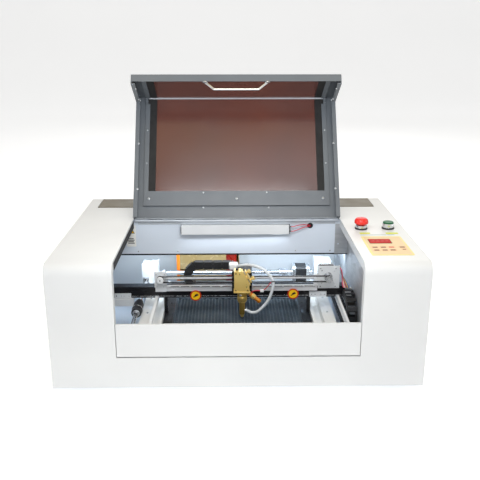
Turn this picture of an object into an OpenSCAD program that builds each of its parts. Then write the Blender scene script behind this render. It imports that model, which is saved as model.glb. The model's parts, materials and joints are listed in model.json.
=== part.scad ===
// Desktop CO2 laser cutter with an open lid, a moving gantry and a laser tube under a rear cover.
// Units are millimetres. The parts are drawn from the front face (y = 0) and the floor (z = 0),
// and from_front() moves them to the frame, whose origin is the centre of the footprint.

/* [Body] */
// Width over the two side walls
body_w = 800; // [790:1:810]
// Depth from the front face to the rear panel
body_d = 550; // [545:1:560]
// Height of the sheet-steel body above the feet
body_h = 280; // [275:1:285]
// Height of the rubber feet
foot_h = 12; // [8:1:16]
// Thickness of the sheet steel
sheet = 2; // [1.5:0.1:2.2]
// Width of each side column
column_w = 140; // [136:1:144]
// Radius of the front top edge
front_r = 25; // [20:1:30]

/* [Openings] */
// Height of the seam under the front flap
flap_low = 86; // [84:1:90]
// Height of the top of the front flap
flap_top = 160; // [155:1:162]
// Distance of the tube bay wall from the front face
wall_y = 340; // [340:1:342]
// Height of the lower edge of the tube bay wall
wall_low = 200; // [198:1:204]
// Distance of the rear cover's front edge from the front face
cover_y = 463; // [460:1:466]

/* [Lid] */
// Angle by which the lid stands open at rest
lid_open = 121; // [110:1:122]
// Depth of the lid's side flanges
lid_flange = 25; // [20:1:28]
// Length of the front skirt
skirt_l = 129; // [120:1:130]
// Depth of the lip at the end of the skirt
skirt_lip = 18; // [14:1:20]
// Width of the see-through opening
window_w = 410; // [380:5:420]

/* [Motion] */
// Height of the beam's underside
beam_z = 122; // [122:0.5:124]
// Distance of the beam's front face from the body's front
beam_y = 240; // [236:1:244]
// Pitch radius of the belt pulleys
pulley_r = 6.35; // [5:0.05:6.5]
// Height of the rails' top faces
rail_top = 90; // [86:1:91]
// Place of the laser head along the beam
head_x = 11; // [5:1:20]

/* [Controls] */
// Place of the emergency stop
estop_at = [297, 253];
// Place of the start button
start_at = [362, 255];
// Diameter of the panel holes for the buttons
button_hole = 22; // [22:0.5:22.5]

/* [Hidden] */
$fn = 48;
eps = 0.01;
clear = 0.06;
spigot_l = 28;
front_y = -(body_d + spigot_l) / 2;
side_x = body_w / 2;
bay_x = side_x - column_w;
base_z = foot_h;
top_z = foot_h + body_h;
inner_x = side_x - sheet;
partition_x = bay_x + 25;
cover_x = side_x - 29;
cover_drop = 40;
// Gap that the opening rear cover needs in front of it
cover_gap = 6.2;
// Lid: its hinge axis, and sizes measured from it with the lid shut
hinge_y = wall_y - 5;
hinge_z = top_z - 2;
hinge_r = 3;
lid_x = bay_x - 3;
lid_front = -hinge_y;
lid_back = -3.5;
lid_low = 2 - skirt_l;
lip_w = 10;
window_back = -76;
pane_x = window_w / 2 + 22;
rear_flange = 8;
knuckle_l = 34;
lid_knuckles = 15;
flap_pin_y = 4;
cover_knuckles = 21;
flap_knuckles = 15;
// Gantry
beam_d = 24;
beam_h = 28;
rail_z = beam_z + 20;
beam_x = [-345, 263];
belt_z = 176;
belt_y = 221;
belt_w = 6;
belt_t = 1.4;
motor_w = 42;
x_pulley_x = 220;
idler_x = -185;
rail_x = [180, 188, 205, 233];
bed_top = 78;
bed_back = 346;
shaft_y = 425;
shaft_z = 118;
y_belt_x = [-196, 246];
y_idler_y = 40;
y_pin_l = 15;
rod_x = -240;
rod_z = 108;
// Exhaust
fan_at = [-77, 137];
fan_r = 48;
// Drag chains
x_chain_x = -93.4;
x_chain_y = 276;
x_chain_z = 165;
x_chain_r = 28.5;
x_chain_h = 19;
tube_y = 505;
tube_z = 243;

// ---- Helpers ----

// Moves what is drawn from the front face into the frame.
module from_front() translate([0, front_y, 0]) children();

// A box between pairs of limits along X, Y and Z.
module block(x, y, z)
    translate([x[0], y[0], z[0]])
        cube([x[1] - x[0], y[1] - y[0], z[1] - z[0]]);

module rod_along_x(x, y, z, r)
    translate([x[0], y, z]) rotate([0, 90, 0]) cylinder(h = x[1] - x[0], r = r);

module rod_along_y(x, y, z, r)
    translate([x, y[0], z]) rotate([-90, 0, 0]) cylinder(h = y[1] - y[0], r = r);

module rod_along_z(x, y, z, r)
    translate([x, y, z[0]]) cylinder(h = z[1] - z[0], r = r);

// Pulls a profile drawn in Y and Z along X.
module along_x(x)
    translate([x[0], 0, 0]) rotate([90, 0, 90]) linear_extrude(x[1] - x[0]) children();

module both_sides() {
    children();
    mirror([1, 0, 0]) children();
}

// Side view of the body, drawn in by the given distance.
module side_profile(inset) {
    translate([front_r, base_z + inset])
        square([body_d - inset - front_r, body_h - 2 * inset]);
    translate([inset, base_z + inset])
        square([front_r - inset + 1, body_h - front_r - inset]);
    translate([front_r, top_z - front_r]) circle(front_r - inset);
}

// Ends of one barrel, counted from the left, of a hinge with n barrels about the middle.
function knuckle_x(i, n) = [(i - n / 2) * knuckle_l + 0.4, (i + 1 - n / 2) * knuckle_l - 0.4];

// Every other barrel of a long hinge, from the barrel with the given number on.
module barrels(n, first, y, z, r, bore)
    for (i = [first:2:n - 1])
        difference() {
            x = knuckle_x(i, n);
            rod_along_x(x, y, z, r);
            rod_along_x([x[0] - 1, x[1] + 1], y, z, bore);
        }

// Smooth points through a hand-placed route, with the given number of steps a stretch.
function bend_point(a, b, c, d, t) =
    0.5 * (2 * b + (c - a) * t + (2 * a - 5 * b + 4 * c - d) * t * t
        + (3 * b - a - 3 * c + d) * t * t * t);
function smooth(route, steps) = [
    for (i = [0:len(route) - 2])
        for (k = [0:steps - 1])
            bend_point(
                route[max(i - 1, 0)], route[i], route[i + 1],
                route[min(i + 2, len(route) - 1)], k / steps
            ),
    route[len(route) - 1]
];
function unit(v) = v / norm(v);

// A round tube swept along points, closed at both ends.
module swept(points, r, sides) {
    n = len(points);
    rings = [
        for (i = [0:n - 1])
            let (
                t = unit(points[min(i + 1, n - 1)] - points[max(i - 1, 0)]),
                a = unit(cross(t, [0.05, 1, 0.1])),
                b = cross(t, a)
            )
            for (k = [0:sides - 1])
                points[i] + r * (cos(360 * k / sides) * a + sin(360 * k / sides) * b)
    ];
    walls = [
        for (i = [0:n - 2])
            for (k = [0:sides - 1])
                let (j = (k + 1) % sides)
                each [
                    [i * sides + k, (i + 1) * sides + j, i * sides + j],
                    [i * sides + k, (i + 1) * sides + k, (i + 1) * sides + j]
                ]
    ];
    ends = [
        [for (k = [0:sides - 1]) k],
        [for (k = [sides - 1:-1:0]) (n - 1) * sides + k]
    ];
    polyhedron(rings, concat(walls, ends));
}

// ---- Body ----

module rubber_feet() color("dimgray") from_front()
    for (x = [-side_x + 50, side_x - 50])
        for (y = [50, body_d - 50])
            translate([x, y, 0]) {
                cylinder(h = foot_h, r1 = 16, r2 = 19);
            }

module base_pan() color("gainsboro") from_front() {
    rim = 24;
    difference() {
        block([-inner_x, inner_x], [sheet, body_d - sheet], [base_z, base_z + sheet + rim]);
        block(
            [-inner_x + sheet, inner_x - sheet], [2 * sheet, body_d - 2 * sheet],
            [base_z + sheet, top_z]
        );
    }
}

// One side column: skin over the front and top, side wall, rear corner and return flange.
module housing_left() {
    flange = 20;
    along_x([-side_x, -side_x + sheet])
        side_profile(0);
    along_x([-side_x + sheet, -cover_x])
        difference() {
            side_profile(0);
            side_profile(sheet);
            translate([sheet, base_z - 1]) square([body_d, sheet + 1]);
            translate([body_d - sheet, base_z - 1]) square([sheet + 1, body_h - cover_drop + 1]);
        }
    along_x([-cover_x, -bay_x])
        difference() {
            side_profile(0);
            side_profile(sheet);
            translate([sheet, base_z - 1]) square([body_d, sheet + 1]);
            translate([cover_y - cover_gap, base_z - 1]) square([body_d, body_h + 2]);
        }
    along_x([-bay_x - sheet, -bay_x])
        difference() {
            side_profile(0);
            side_profile(flange);
            translate([-1, base_z - 1]) square([body_d + 2, flap_low - base_z + 1]);
            translate([wall_y - 1, base_z - 1]) square([body_d, body_h + 2]);
        }
}

module left_housing() color("whitesmoke") from_front() housing_left();

module right_housing() color("whitesmoke") from_front()
    difference() {
        mirror([1, 0, 0]) housing_left();
        for (p = [estop_at, start_at])
            rod_along_z(p[0], p[1], [top_z - 5, top_z + 1], button_hole / 2);
    }

module front_panel() color("whitesmoke") from_front() {
    top = flap_low - 2.8;
    block([-bay_x, bay_x], [0, sheet], [base_z, top]);
    block([-bay_x, bay_x], [sheet, 14], [top - sheet, top]);
}

module rear_panel() color("gainsboro") from_front() {
    slot_h = 4;
    water_x = [-340, -310];
    difference() {
        union() {
            block([-inner_x, inner_x], [body_d - sheet, body_d], [base_z, top_z - cover_drop - 1]);
            for (x = water_x)
                rod_along_y(x, [body_d - 14, body_d + 20], 215, 5);
        }
        rod_along_y(fan_at[0], [body_d - 5, body_d + 1], fan_at[1], fan_r + 2.1);
        block([310, 340], [body_d - 5, body_d + 1], [50, 74]);
        block([352, 372], [body_d - 5, body_d + 1], [52, 72]);
        for (i = [0:9])
            block([300, 380], [body_d - 5, body_d + 1], [110 + i * 11, 110 + i * 11 + slot_h]);
        for (x = water_x)
            rod_along_y(x, [body_d - 15, body_d + 21], 215, 3);
    }
}

// Folded sheet: the wall behind the bay, the tube bay's floor and the fixed top between the lid
// and the rear cover.
module tube_bay_panel() color("aliceblue") from_front() {
    difference() {
        block([-inner_x, inner_x], [wall_y, wall_y + sheet], [wall_low, top_z - sheet]);
        rod_along_y(185, [wall_y - 1, wall_y + sheet + 1], 275, 5);
        // Where the laser beam passes to the gantry
        rod_along_y(-326, [wall_y - 1, wall_y + sheet + 1], 214, 9);
    }
    block([-inner_x, inner_x], [wall_y, body_d - sheet], [wall_low - sheet, wall_low]);
    block([-bay_x, bay_x], [wall_y, cover_y - cover_gap], [top_z - sheet, top_z]);
    block(
        [-cover_x + 1, cover_x - 1], [cover_y - 20, cover_y - cover_gap],
        [top_z - 2 * sheet, top_z - sheet]
    );
}

module electronics_partition() color("silver") from_front() {
    block([partition_x - sheet, partition_x], [14, wall_y - 1], [base_z + sheet, top_z - 8]);
    block([partition_x - sheet, partition_x], [wall_y - 1, body_d - 6], [base_z + sheet, wall_low - 3]);
    difference() {
        block([bay_x - 11, partition_x], [wall_y - 1, wall_y], [wall_low, top_z - 12.5]);
        rod_along_y(bay_x - 2, [wall_y - 2, wall_y + 1], 226, 2);
    }
    // Shelf that the Y chain's lower run lies on
    block([255, partition_x - 1], [70, 432], [51, 53]);
}

// Fixed halves of the lid and cover hinges, and the flap's pin.
module piano_hinges() color("silver") from_front() {
    leaf_h = 11;
    // Lid
    barrels(lid_knuckles, 1, hinge_y, hinge_z, hinge_r, 1.5 - eps);
    rod_along_x([-lid_x + 4, lid_x - 4], hinge_y, hinge_z, 1.5);
    for (i = [1:2:lid_knuckles - 2])
        block(
            knuckle_x(i, lid_knuckles),
            [hinge_y + 1, hinge_y + hinge_r + 2], [hinge_z - hinge_r + 0.6, hinge_z - 1]
        );
    block([-lid_x + 9, lid_x - 9], [wall_y - 1.2, wall_y], [hinge_z - leaf_h, hinge_z - 1]);
    // Rear cover
    cover_pin_x = cover_knuckles * knuckle_l / 2;
    barrels(cover_knuckles, 1, cover_y - 2, top_z - 4, 2, 1 - eps);
    rod_along_x([-cover_pin_x, cover_pin_x], cover_y - 2, top_z - 4, 1);
    for (i = [1:2:cover_knuckles - 2])
        block(
            knuckle_x(i, cover_knuckles),
            [cover_y - 12, cover_y - 3], [top_z - 5.6, top_z - 4]
        );
    // Front flap, with tabs that reach round behind the flap's lower edge
    flap_pin_x = flap_knuckles * knuckle_l / 2 - 4;
    barrels(flap_knuckles, 0, flap_pin_y, flap_low + 2, 1.8, 1 - eps);
    rod_along_x([-flap_pin_x, flap_pin_x], flap_pin_y, flap_low + 2, 1);
    for (i = [0:2:flap_knuckles - 1]) {
        block(knuckle_x(i, flap_knuckles), [flap_pin_y + 1.2, 7.4], [flap_low + 1.4, flap_low + 2.6]);
        block(knuckle_x(i, flap_knuckles), [6.4, 7.4], [flap_low - 2.8, flap_low + 2.6]);
    }
}

module rear_cover() color("dimgray") from_front() {
    x = [-cover_x + 1, cover_x - 1];
    block(x, [cover_y, body_d], [top_z - sheet, top_z]);
    block(x, [body_d - sheet, body_d], [top_z - cover_drop + 1, top_z - sheet]);
    barrels(cover_knuckles, 0, cover_y - 2, top_z - 4, 2, 1 + clear);
    for (i = [0:2:cover_knuckles - 1])
        block(
            knuckle_x(i, cover_knuckles),
            [cover_y - 0.8, cover_y + 12], [top_z - 4, top_z - sheet]
        );
    // Finger lip under the rear edge
    block([-60, 60], [body_d - 8, body_d - sheet], [top_z - cover_drop + 1, top_z - cover_drop + 3]);
}

module front_flap() color("whitesmoke") from_front() {
    x = [-bay_x + 1.5, bay_x - 1.5];
    block(x, [0, sheet], [flap_low, flap_top]);
    block(x, [sheet, 6], [flap_top - sheet, flap_top]);
    for (i = [1:2:flap_knuckles - 2])
        difference() {
            union() {
                rod_along_x(knuckle_x(i, flap_knuckles), flap_pin_y, flap_low + 2, 1.8);
                block(
                    knuckle_x(i, flap_knuckles),
                    [sheet - 0.5, 3.4], [flap_low + 2, flap_low + 14]
                );
            }
            rod_along_x(
                [-flap_knuckles * knuckle_l / 2, flap_knuckles * knuckle_l / 2],
                flap_pin_y, flap_low + 2, 1 + clear
            );
        }
}

// ---- Lid ----

// Places the lid, drawn shut around its hinge axis, at its open rest position.
module lid_place() translate([0, hinge_y, hinge_z]) rotate([-lid_open, 0, 0]) children();

// The lid's side view: an L with limbs of the given depth.
module lid_profile(depth) {
    translate([lid_front, 2 - depth]) square([lid_back - lid_front, depth]);
    translate([lid_front, lid_low]) square([depth, skirt_l]);
}

module lid_shell() color("slategray") from_front() lid_place() {
    flange = lid_flange;
    lip_x = [lid_x - lip_w, lid_x - sheet];
    // Top and skirt with the opening that runs round the bend
    difference() {
        union() {
            block([-lid_x, lid_x], [lid_front, lid_back], [0, 2]);
            block([-lid_x, lid_x], [lid_front, lid_front + sheet], [lid_low, 1]);
        }
        block([-window_w / 2, window_w / 2], [lid_front - 1, window_back], [-1, 3]);
        block([-window_w / 2, window_w / 2], [lid_front - 1, lid_front + 3], [lid_low + 16, 3]);
    }
    // Side flanges with their return lips
    both_sides() {
        along_x([lid_x - sheet, lid_x]) lid_profile(flange);
        block(lip_x, [lid_front + flange - 1.5, lid_back], [2 - flange, 3.5 - flange]);
        block(lip_x, [lid_front + flange - 1.5, lid_front + flange], [lid_low, 3.5 - flange]);
    }
    // Rear flange and the lip at the end of the skirt
    block([-lid_x + sheet, lid_x - sheet], [lid_back - sheet, lid_back], [-rear_flange, 1]);
    block([-lid_x, lid_x], [lid_front, lid_front + skirt_lip], [lid_low, lid_low + sheet]);
}

module lid_hinge_leaf() color("silver") from_front() lid_place() {
    barrels(lid_knuckles, 0, 0, 0, hinge_r - 0.2, 1.5 + clear);
    for (i = [0:2:lid_knuckles - 1])
        block(knuckle_x(i, lid_knuckles), [lid_back, -1.8], [-2, 1.2]);
    block([-lid_x + 2, lid_x - 2], [lid_back, lid_back + 0.4], [-rear_flange, -2]);
}

// Frame that clamps the panes from inside.
module lid_frame() color("lightslategray") from_front() lid_place() {
    outer_x = pane_x + 7;
    difference() {
        block([-outer_x, outer_x], [lid_front + 22, window_back + 38], [-5, -3]);
        block([-pane_x + 4, pane_x - 4], [lid_front + 18, window_back], [-6, -2]);
    }
    // Skirt side strips, and the bead where the panes meet at the bend
    both_sides() {
        block([pane_x - 4, outer_x], [lid_front + 5, lid_front + 7], [lid_low + 6, -3]);
        block([pane_x + 1, outer_x], [lid_front + 7, lid_front + 22], [-8, -3]);
    }
    block([-pane_x, pane_x], [lid_front + 5, lid_front + 7], [-5, -3]);
    // Spacers that carry the frame on the shell
    for (x = [-outer_x + 3, outer_x - 3])
        for (y = [lid_front + 40, lid_front + 140, window_back - 10, window_back + 30])
            rod_along_z(x, y, [-3, 0], 2.5);
    for (x = [-80, 80])
        rod_along_z(x, window_back + 30, [-3, 0], 2.5);
}

module lid_window() color([0.45, 0.2, 0.15, 0.6]) from_front() lid_place()
    block([-pane_x, pane_x], [lid_front + 2, window_back + 8], [-3, 0]);

module lid_front_window() color([0.45, 0.2, 0.15, 0.6]) from_front() lid_place()
    block([-pane_x, pane_x], [lid_front + 2, lid_front + 5], [lid_low + 12, -3]);

// Bail handle: two slanted legs and a straight grip.
module lid_handle() color("silver") from_front() lid_place()
    translate([0, lid_front + skirt_lip, lid_low + 6]) {
        r = 3;
        foot_x = 76;
        grip_x = 54;
        reach = 19;
        leg = norm([foot_x - grip_x, reach]);
        lean = atan2(foot_x - grip_x, reach);
        rod_along_x([-grip_x, grip_x], reach, 0, r);
        both_sides() {
            translate([grip_x, reach, 0]) sphere(r);
            translate([foot_x, 0, 0]) rotate([-90, 0, lean]) cylinder(h = leg, r = r);
            translate([foot_x, 0, 0]) rotate([-90, 0, 0]) cylinder(h = 1.5, r = 6);
            block([foot_x - 7, foot_x + 7], [-skirt_lip + sheet, 0], [-4, 4]);
        }
    }

// ---- Controls ----

module panel_overlay() color("wheat") from_front()
    block([284, 376], [55, 190], [top_z, top_z + 0.6]);

// Bezel rings of the two buttons, each with its barrel through the panel.
module button_bezels() color("silver") from_front() {
    for (p = [estop_at, start_at])
        difference() {
            union() {
                rod_along_z(p[0], p[1], [top_z, top_z + 4], 15);
                rod_along_z(p[0], p[1], [top_z + 4, top_z + 11], 13.6);
                rod_along_z(p[0], p[1], [top_z - 30, top_z], button_hole / 2 - 0.1);
            }
            rod_along_z(p[0], p[1], [top_z - 22, top_z + 12], 9.5);
        }
}

module estop_button() color("red") from_front()
    translate([estop_at[0], estop_at[1], top_z])
        rotate_extrude()
            union() {
                translate([0, -14]) square([9.4, 30]);
                translate([0, 15.2]) square([12, 2]);
                intersection() {
                    translate([0, 16.5]) square([18, 15]);
                    translate([0, 12.5]) scale([1, 0.9]) circle(17);
                }
            }

module start_button() color("seagreen") from_front() {
    rod_along_z(start_at[0], start_at[1], [top_z - 14, top_z + 14], 9.4);
    rod_along_z(start_at[0], start_at[1], [top_z + 13.7, top_z + 16.5], 12.6);
}

module lamp_housing() color("white") from_front() {
    x = [-139, 131];
    difference() {
        block(x, [wall_y - 14, wall_y], [256, 278]);
        block([x[0] + 2, x[1] - 2], [wall_y - 12, wall_y - 2], [255, 276]);
    }
    block([x[0] + 2, x[1] - 2], [wall_y - 12, wall_y - 2], [257, 259]);
}

// The lamp's two leads, from its right end into the grommet.
module lamp_wires() color("firebrick") from_front() {
    upper = [
        [131, 333, 274], [142, 333, 274], [155, 334, 277], [168, 335, 278],
        [178, 336, 277], [183, 339, 276], [184, 346, 276]
    ];
    lower = [
        [131, 333, 262], [142, 333, 262], [155, 334, 266], [168, 335, 271],
        [178, 336, 273], [186, 339, 274], [186, 346, 274]
    ];
    swept(smooth(upper, 2), 1.1, 8);
    swept(smooth(lower, 2), 1.1, 8);
}

// ---- Exhaust, tube and electronics ----

module exhaust_duct() color("goldenrod") from_front() {
    x = [-163, 8];
    difference() {
        block(x, [452, body_d - sheet], [84, 190]);
        block([x[0] + 2, x[1] - 2], [451, body_d - sheet - 2], [86, 188]);
        rod_along_y(fan_at[0], [body_d - 6, body_d], fan_at[1], fan_r + 2.1);
    }
}

module exhaust_spigot() color("dimgray") from_front() {
    difference() {
        union() {
            rod_along_y(fan_at[0], [body_d - 28, body_d + spigot_l], fan_at[1], fan_r + 2);
            rod_along_y(fan_at[0], [body_d, body_d + 2], fan_at[1], fan_r + 10);
        }
        rod_along_y(fan_at[0], [body_d - 29, body_d + spigot_l + 1], fan_at[1], fan_r);
    }
    // Spider that carries the fan motor
    rod_along_y(fan_at[0], [body_d + 2, body_d + 14], fan_at[1], 16);
    for (a = [0:120:240])
        translate([fan_at[0], 0, fan_at[1]]) rotate([0, a, 0])
            block([14, fan_r + 1], [body_d + 5, body_d + 9], [-2, 2]);
}

module fan_rotor() color("black") from_front()
    translate([fan_at[0], body_d - 24, fan_at[1]]) {
        rod_along_y(0, [0, 20], 0, 15);
        rod_along_y(0, [20, 25.8], 0, 3);
        for (a = [0:360 / 7:359])
            rotate([0, a, 0]) translate([12, 10, 0]) rotate([35, 0, 0])
                block([0, 34], [-9, 9], [-0.8, 0.8]);
    }

module laser_tube() color([0.8, 0.85, 0.9, 0.6]) from_front() {
    rod_along_x([-300, 290], tube_y, tube_z, 25);
    rod_along_x([-312, -300], tube_y, tube_z, 14);
    rod_along_x([290, 304], tube_y, tube_z, 14);
}

module tube_saddles() color("ivory") from_front()
    for (x = [-190, 180])
        difference() {
            block([x - 9, x + 9], [tube_y - 34, tube_y + 34], [wall_low, tube_z + 4]);
            rod_along_x([x - 10, x + 10], tube_y, tube_z, 25);
        }

// First mirror, on its plate at the tube's left end.
module first_mirror() color("darkgoldenrod") from_front() {
    block([-350, -322], [tube_y - 14, tube_y + 14], [wall_low, wall_low + 4]);
    block([-349, -345], [tube_y - 14, tube_y + 14], [wall_low + 4, 262]);
    translate([-336, tube_y, tube_z]) rotate([0, 0, 45]) rod_along_y(0, [-3, 3], 0, 12);
    block([-345, -341], [tube_y - 5, tube_y + 5], [wall_low + 4, tube_z]);
}

module power_supply() color("silver") from_front() {
    block([296, 390], [330, 470], [base_z + sheet, 110]);
    for (i = [0:5])
        block([300 + i * 15, 308 + i * 15], [322, 330], [30, 44]);
}

module control_board() color("darkgreen") from_front() {
    block([300, 388], [90, 230], [34, 36]);
    for (p = [[304, 94], [384, 94], [304, 226], [384, 226]])
        rod_along_z(p[0], p[1], [base_z + sheet, 34], 3);
    block([320, 350], [120, 150], [36, 39]);
    for (i = [0:3])
        block([306 + i * 20, 320 + i * 20], [196, 212], [36, 48]);
}

module mains_inlet() color("black") from_front() {
    difference() {
        union() {
            block([310.5, 339.5], [body_d - 20, body_d], [50.5, 73.5]);
            block([305, 345], [body_d, body_d + 2], [46, 78]);
        }
        block([314, 336], [body_d - 16, body_d + 3], [54, 70]);
    }
    for (x = [319, 325, 331])
        block([x - 1, x + 1], [body_d - 16, body_d - 3], [60, 65]);
    difference() {
        block([349, 375], [body_d, body_d + 2], [49, 75]);
        block([353, 371], [body_d - 1, body_d + 3], [53, 71]);
    }
}

// Rocker that tips about a pin between its two positions.
module rocker_switch() color("black") from_front()
    translate([362, body_d - 2, 62]) rotate([8, 0, 0]) {
        block([-8.4, 8.4], [-5, 3.2], [-8, 8]);
        rod_along_x([-9, 9], 0, 0, 1.5);
    }

// ---- Bay ----

module bed_frame() color("darkslategray") from_front() {
    x = 157;
    y = [50, bed_back];
    both_sides() {
        block([x, 179], [y[0] - 6, y[1] + 20], [74, bed_top]);
        block([174, 179], [y[0] - 6, y[1] + 20], [58, 74]);
    }
    block([-x, x], [y[0] - 6, y[0]], [68, bed_top]);
    block([-x, x], [y[1], y[1] + 20], [74, bed_top]);
    for (post_x = [-150, 150])
        for (post_y = [y[0] + 10, y[1] + 10])
            rod_along_z(post_x, post_y, [base_z + sheet, 68], 5);
    // Ledges that the comb rests on
    block([-x, x], [y[0], y[0] + 20], [66, 69]);
    block([-x, x], [y[1] - 16, y[1] + 18], [66, 69]);
    both_sides()
        block([x - 12, x], [y[1] + 2, y[1] + 18], [69, 74]);
}

module honeycomb() color("slategray") from_front()
    block([-156.5, 156.5], [50.5, bed_back - 0.5], [69, bed_top]);

// Two Y rails: a raised face, a groove for the shoes and an inner lip, with the idlers' supports.
module y_rails() color("lightgray") from_front() {
    y = [20, 446];
    both_sides() {
        block([rail_x[2], rail_x[3]], y, [60, rail_top]);
        block([rail_x[1], rail_x[2]], y, [60, rail_top - 20]);
        block([rail_x[0], rail_x[1]], y, [60, rail_top - 3]);
        for (p = [40, 420])
            block([rail_x[0] + 4, rail_x[3] - 4], [p - 12, p + 12], [base_z + sheet, 60]);
    }
    idler_support([-210, -206], [-210, -206]);
    idler_support([235, 238], [rail_x[3] - 4, 238]);
}

// Upright plate on a rail, with the bore of an idler's pin.
module idler_support(x, foot_x)
    difference() {
        union() {
            block(x, [y_idler_y - 10, y_idler_y + 10], [rail_top - 6, shaft_z + 9]);
            block(foot_x, [y_idler_y - 10, y_idler_y + 10], [rail_top - 6, rail_top + 4]);
        }
        rod_along_x([x[0] - 1, x[1] + 1], y_idler_y, shaft_z, 3 + clear);
    }

module guide_rod() color("silver") from_front() {
    rod_along_y(rod_x, [18, 398], rod_z, 5);
    for (y = [22, 386])
        difference() {
            union() {
                block([rod_x - 9, -rail_x[3]], [y, y + 8], [rod_z - 9, rod_z + 9]);
                block([rod_x - 9, rod_x - 3], [y, y + 8], [base_z + sheet, rod_z - 9]);
            }
            rod_along_y(rod_x, [y - 1, y + 9], rod_z, 5);
        }
}

// End plates that carry the cross shaft.
module rear_brackets() color("whitesmoke") from_front() {
    difference() {
        union() {
            block([-213, -210], [402, 446], [rail_top, 150]);
            block([-252, -210], [402, 404.5], [rail_top + 2, 150]);
            block([-252, -210], [404.5, 440], [148, 150]);
            block([-232, -210], [404.5, 444], [rail_top, rail_top + 3]);
        }
        rod_along_x([-214, -209], shaft_y, shaft_z, 6 + clear);
    }
    difference() {
        union() {
            block([209, 212], [402, 446], [rail_top, 158]);
            block([212, 252], [402, 404.5], [rail_top + 2, 158]);
            block([212, 252], [404.5, 440], [156, 158]);
            block([212, 232], [404.5, 444], [rail_top, rail_top + 3]);
            // Motor saddle
            block([150, 209], [shaft_y - 18, shaft_y + 19], [shaft_z - 24, shaft_z - 21]);
        }
        rod_along_x([208, 213], shaft_y, shaft_z, 6 + clear);
        // Slot for the right belt
        block([y_belt_x[1] - 5, y_belt_x[1] + 7], [401, 405], [shaft_z - 11, shaft_z + 11]);
    }
}

module y_motor() color("black") from_front() {
    block([150, 196], [shaft_y - 21, shaft_y + 21], [shaft_z - 21, shaft_z + 21]);
    rod_along_x([148, 150], shaft_y, shaft_z, 11);
    block([158, 176], [shaft_y + 21, shaft_y + 28], [shaft_z - 8, shaft_z + 4]);
}

// Shaft with its coupling and the two drive pulleys, all turning together.
module cross_shaft() color("silver") from_front() {
    difference() {
        rod_along_x([-214, 145], shaft_y, shaft_z, 6);
        rod_along_x([140, 150], shaft_y, shaft_z, 2.5);
    }
    rod_along_x([114, 139], shaft_y, shaft_z, 10);
    rod_along_x([196.3, y_belt_x[1] + 6], shaft_y, shaft_z, 6);
    for (x = y_belt_x)
        for (s = [-4.5, 4.5])
            rod_along_x([x + s - 0.8, x + s + 0.8], shaft_y, shaft_z, 8.6);
    rod_along_x([139.5, 147.5], shaft_y, shaft_z, 5);
}

// A toothless belt loop between two round ends, drawn in a plane and pulled to its width.
module belt_loop(l, r, w)
    linear_extrude(w)
        difference() {
            union() {
                circle(r + belt_t);
                translate([l, 0]) circle(r + belt_t);
                translate([0, -r - belt_t]) square([l, 2 * (r + belt_t)]);
            }
            circle(r + 0.05);
            translate([l, 0]) circle(r + 0.05);
            translate([0, -r - 0.05]) square([l, 2 * r + 0.1]);
        }

module y_belts() color("white") from_front()
    for (x = y_belt_x)
        translate([x - belt_w / 2, y_idler_y, shaft_z]) rotate([90, 0, 90])
            belt_loop(shaft_y - y_idler_y, pulley_r, belt_w);

module y_idlers() color("silver") from_front() {
    for (x = y_belt_x) {
        rod_along_x([x - y_pin_l, x + 8], y_idler_y, shaft_z, 3);
        rod_along_x([x - 5, x + 5], y_idler_y, shaft_z, pulley_r);
        for (s = [-4.5, 4.5])
            rod_along_x([x + s - 0.8, x + s + 0.8], y_idler_y, shaft_z, 8.6);
    }
}

// ---- Gantry ----

module gantry_beam() color("black") from_front()
    difference() {
        union() {
            block(beam_x, [beam_y, beam_y + beam_d], [beam_z, beam_z + beam_h]);
            // Shoes that run beside the rails' inner lips
            both_sides()
                block(
                    [rail_x[0] - 9, rail_x[0] - 0.5],
                    [beam_y + 3, beam_y + beam_d - 3], [rail_top - 9, beam_z + 1]
                );
        }
        block(
            [beam_x[0] - 1, beam_x[1] + 1], [beam_y + 2.5, beam_y + beam_d - 2.5],
            [beam_z + 2.5, beam_z + beam_h - 2.5]
        );
        // Clearance for the Y belts under the beam
        for (x = y_belt_x)
            block([x - 5, x + 5], [beam_y - 1, beam_y + beam_d + 1], [beam_z - 1, shaft_z + 9.5]);
    }

module x_rail() color("silver") from_front() {
    x = [-172, 194];
    difference() {
        block(x, [beam_y - 9, beam_y], [rail_z, rail_z + 13]);
        for (i = [0:14])
            rod_along_y(x[0] + 8 + i * 25, [beam_y - 10, beam_y - 4], rail_z + 10.5, 1.6);
    }
    rod_along_x([-188, 196], beam_y + 7, belt_z - 5, 4);
}

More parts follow.
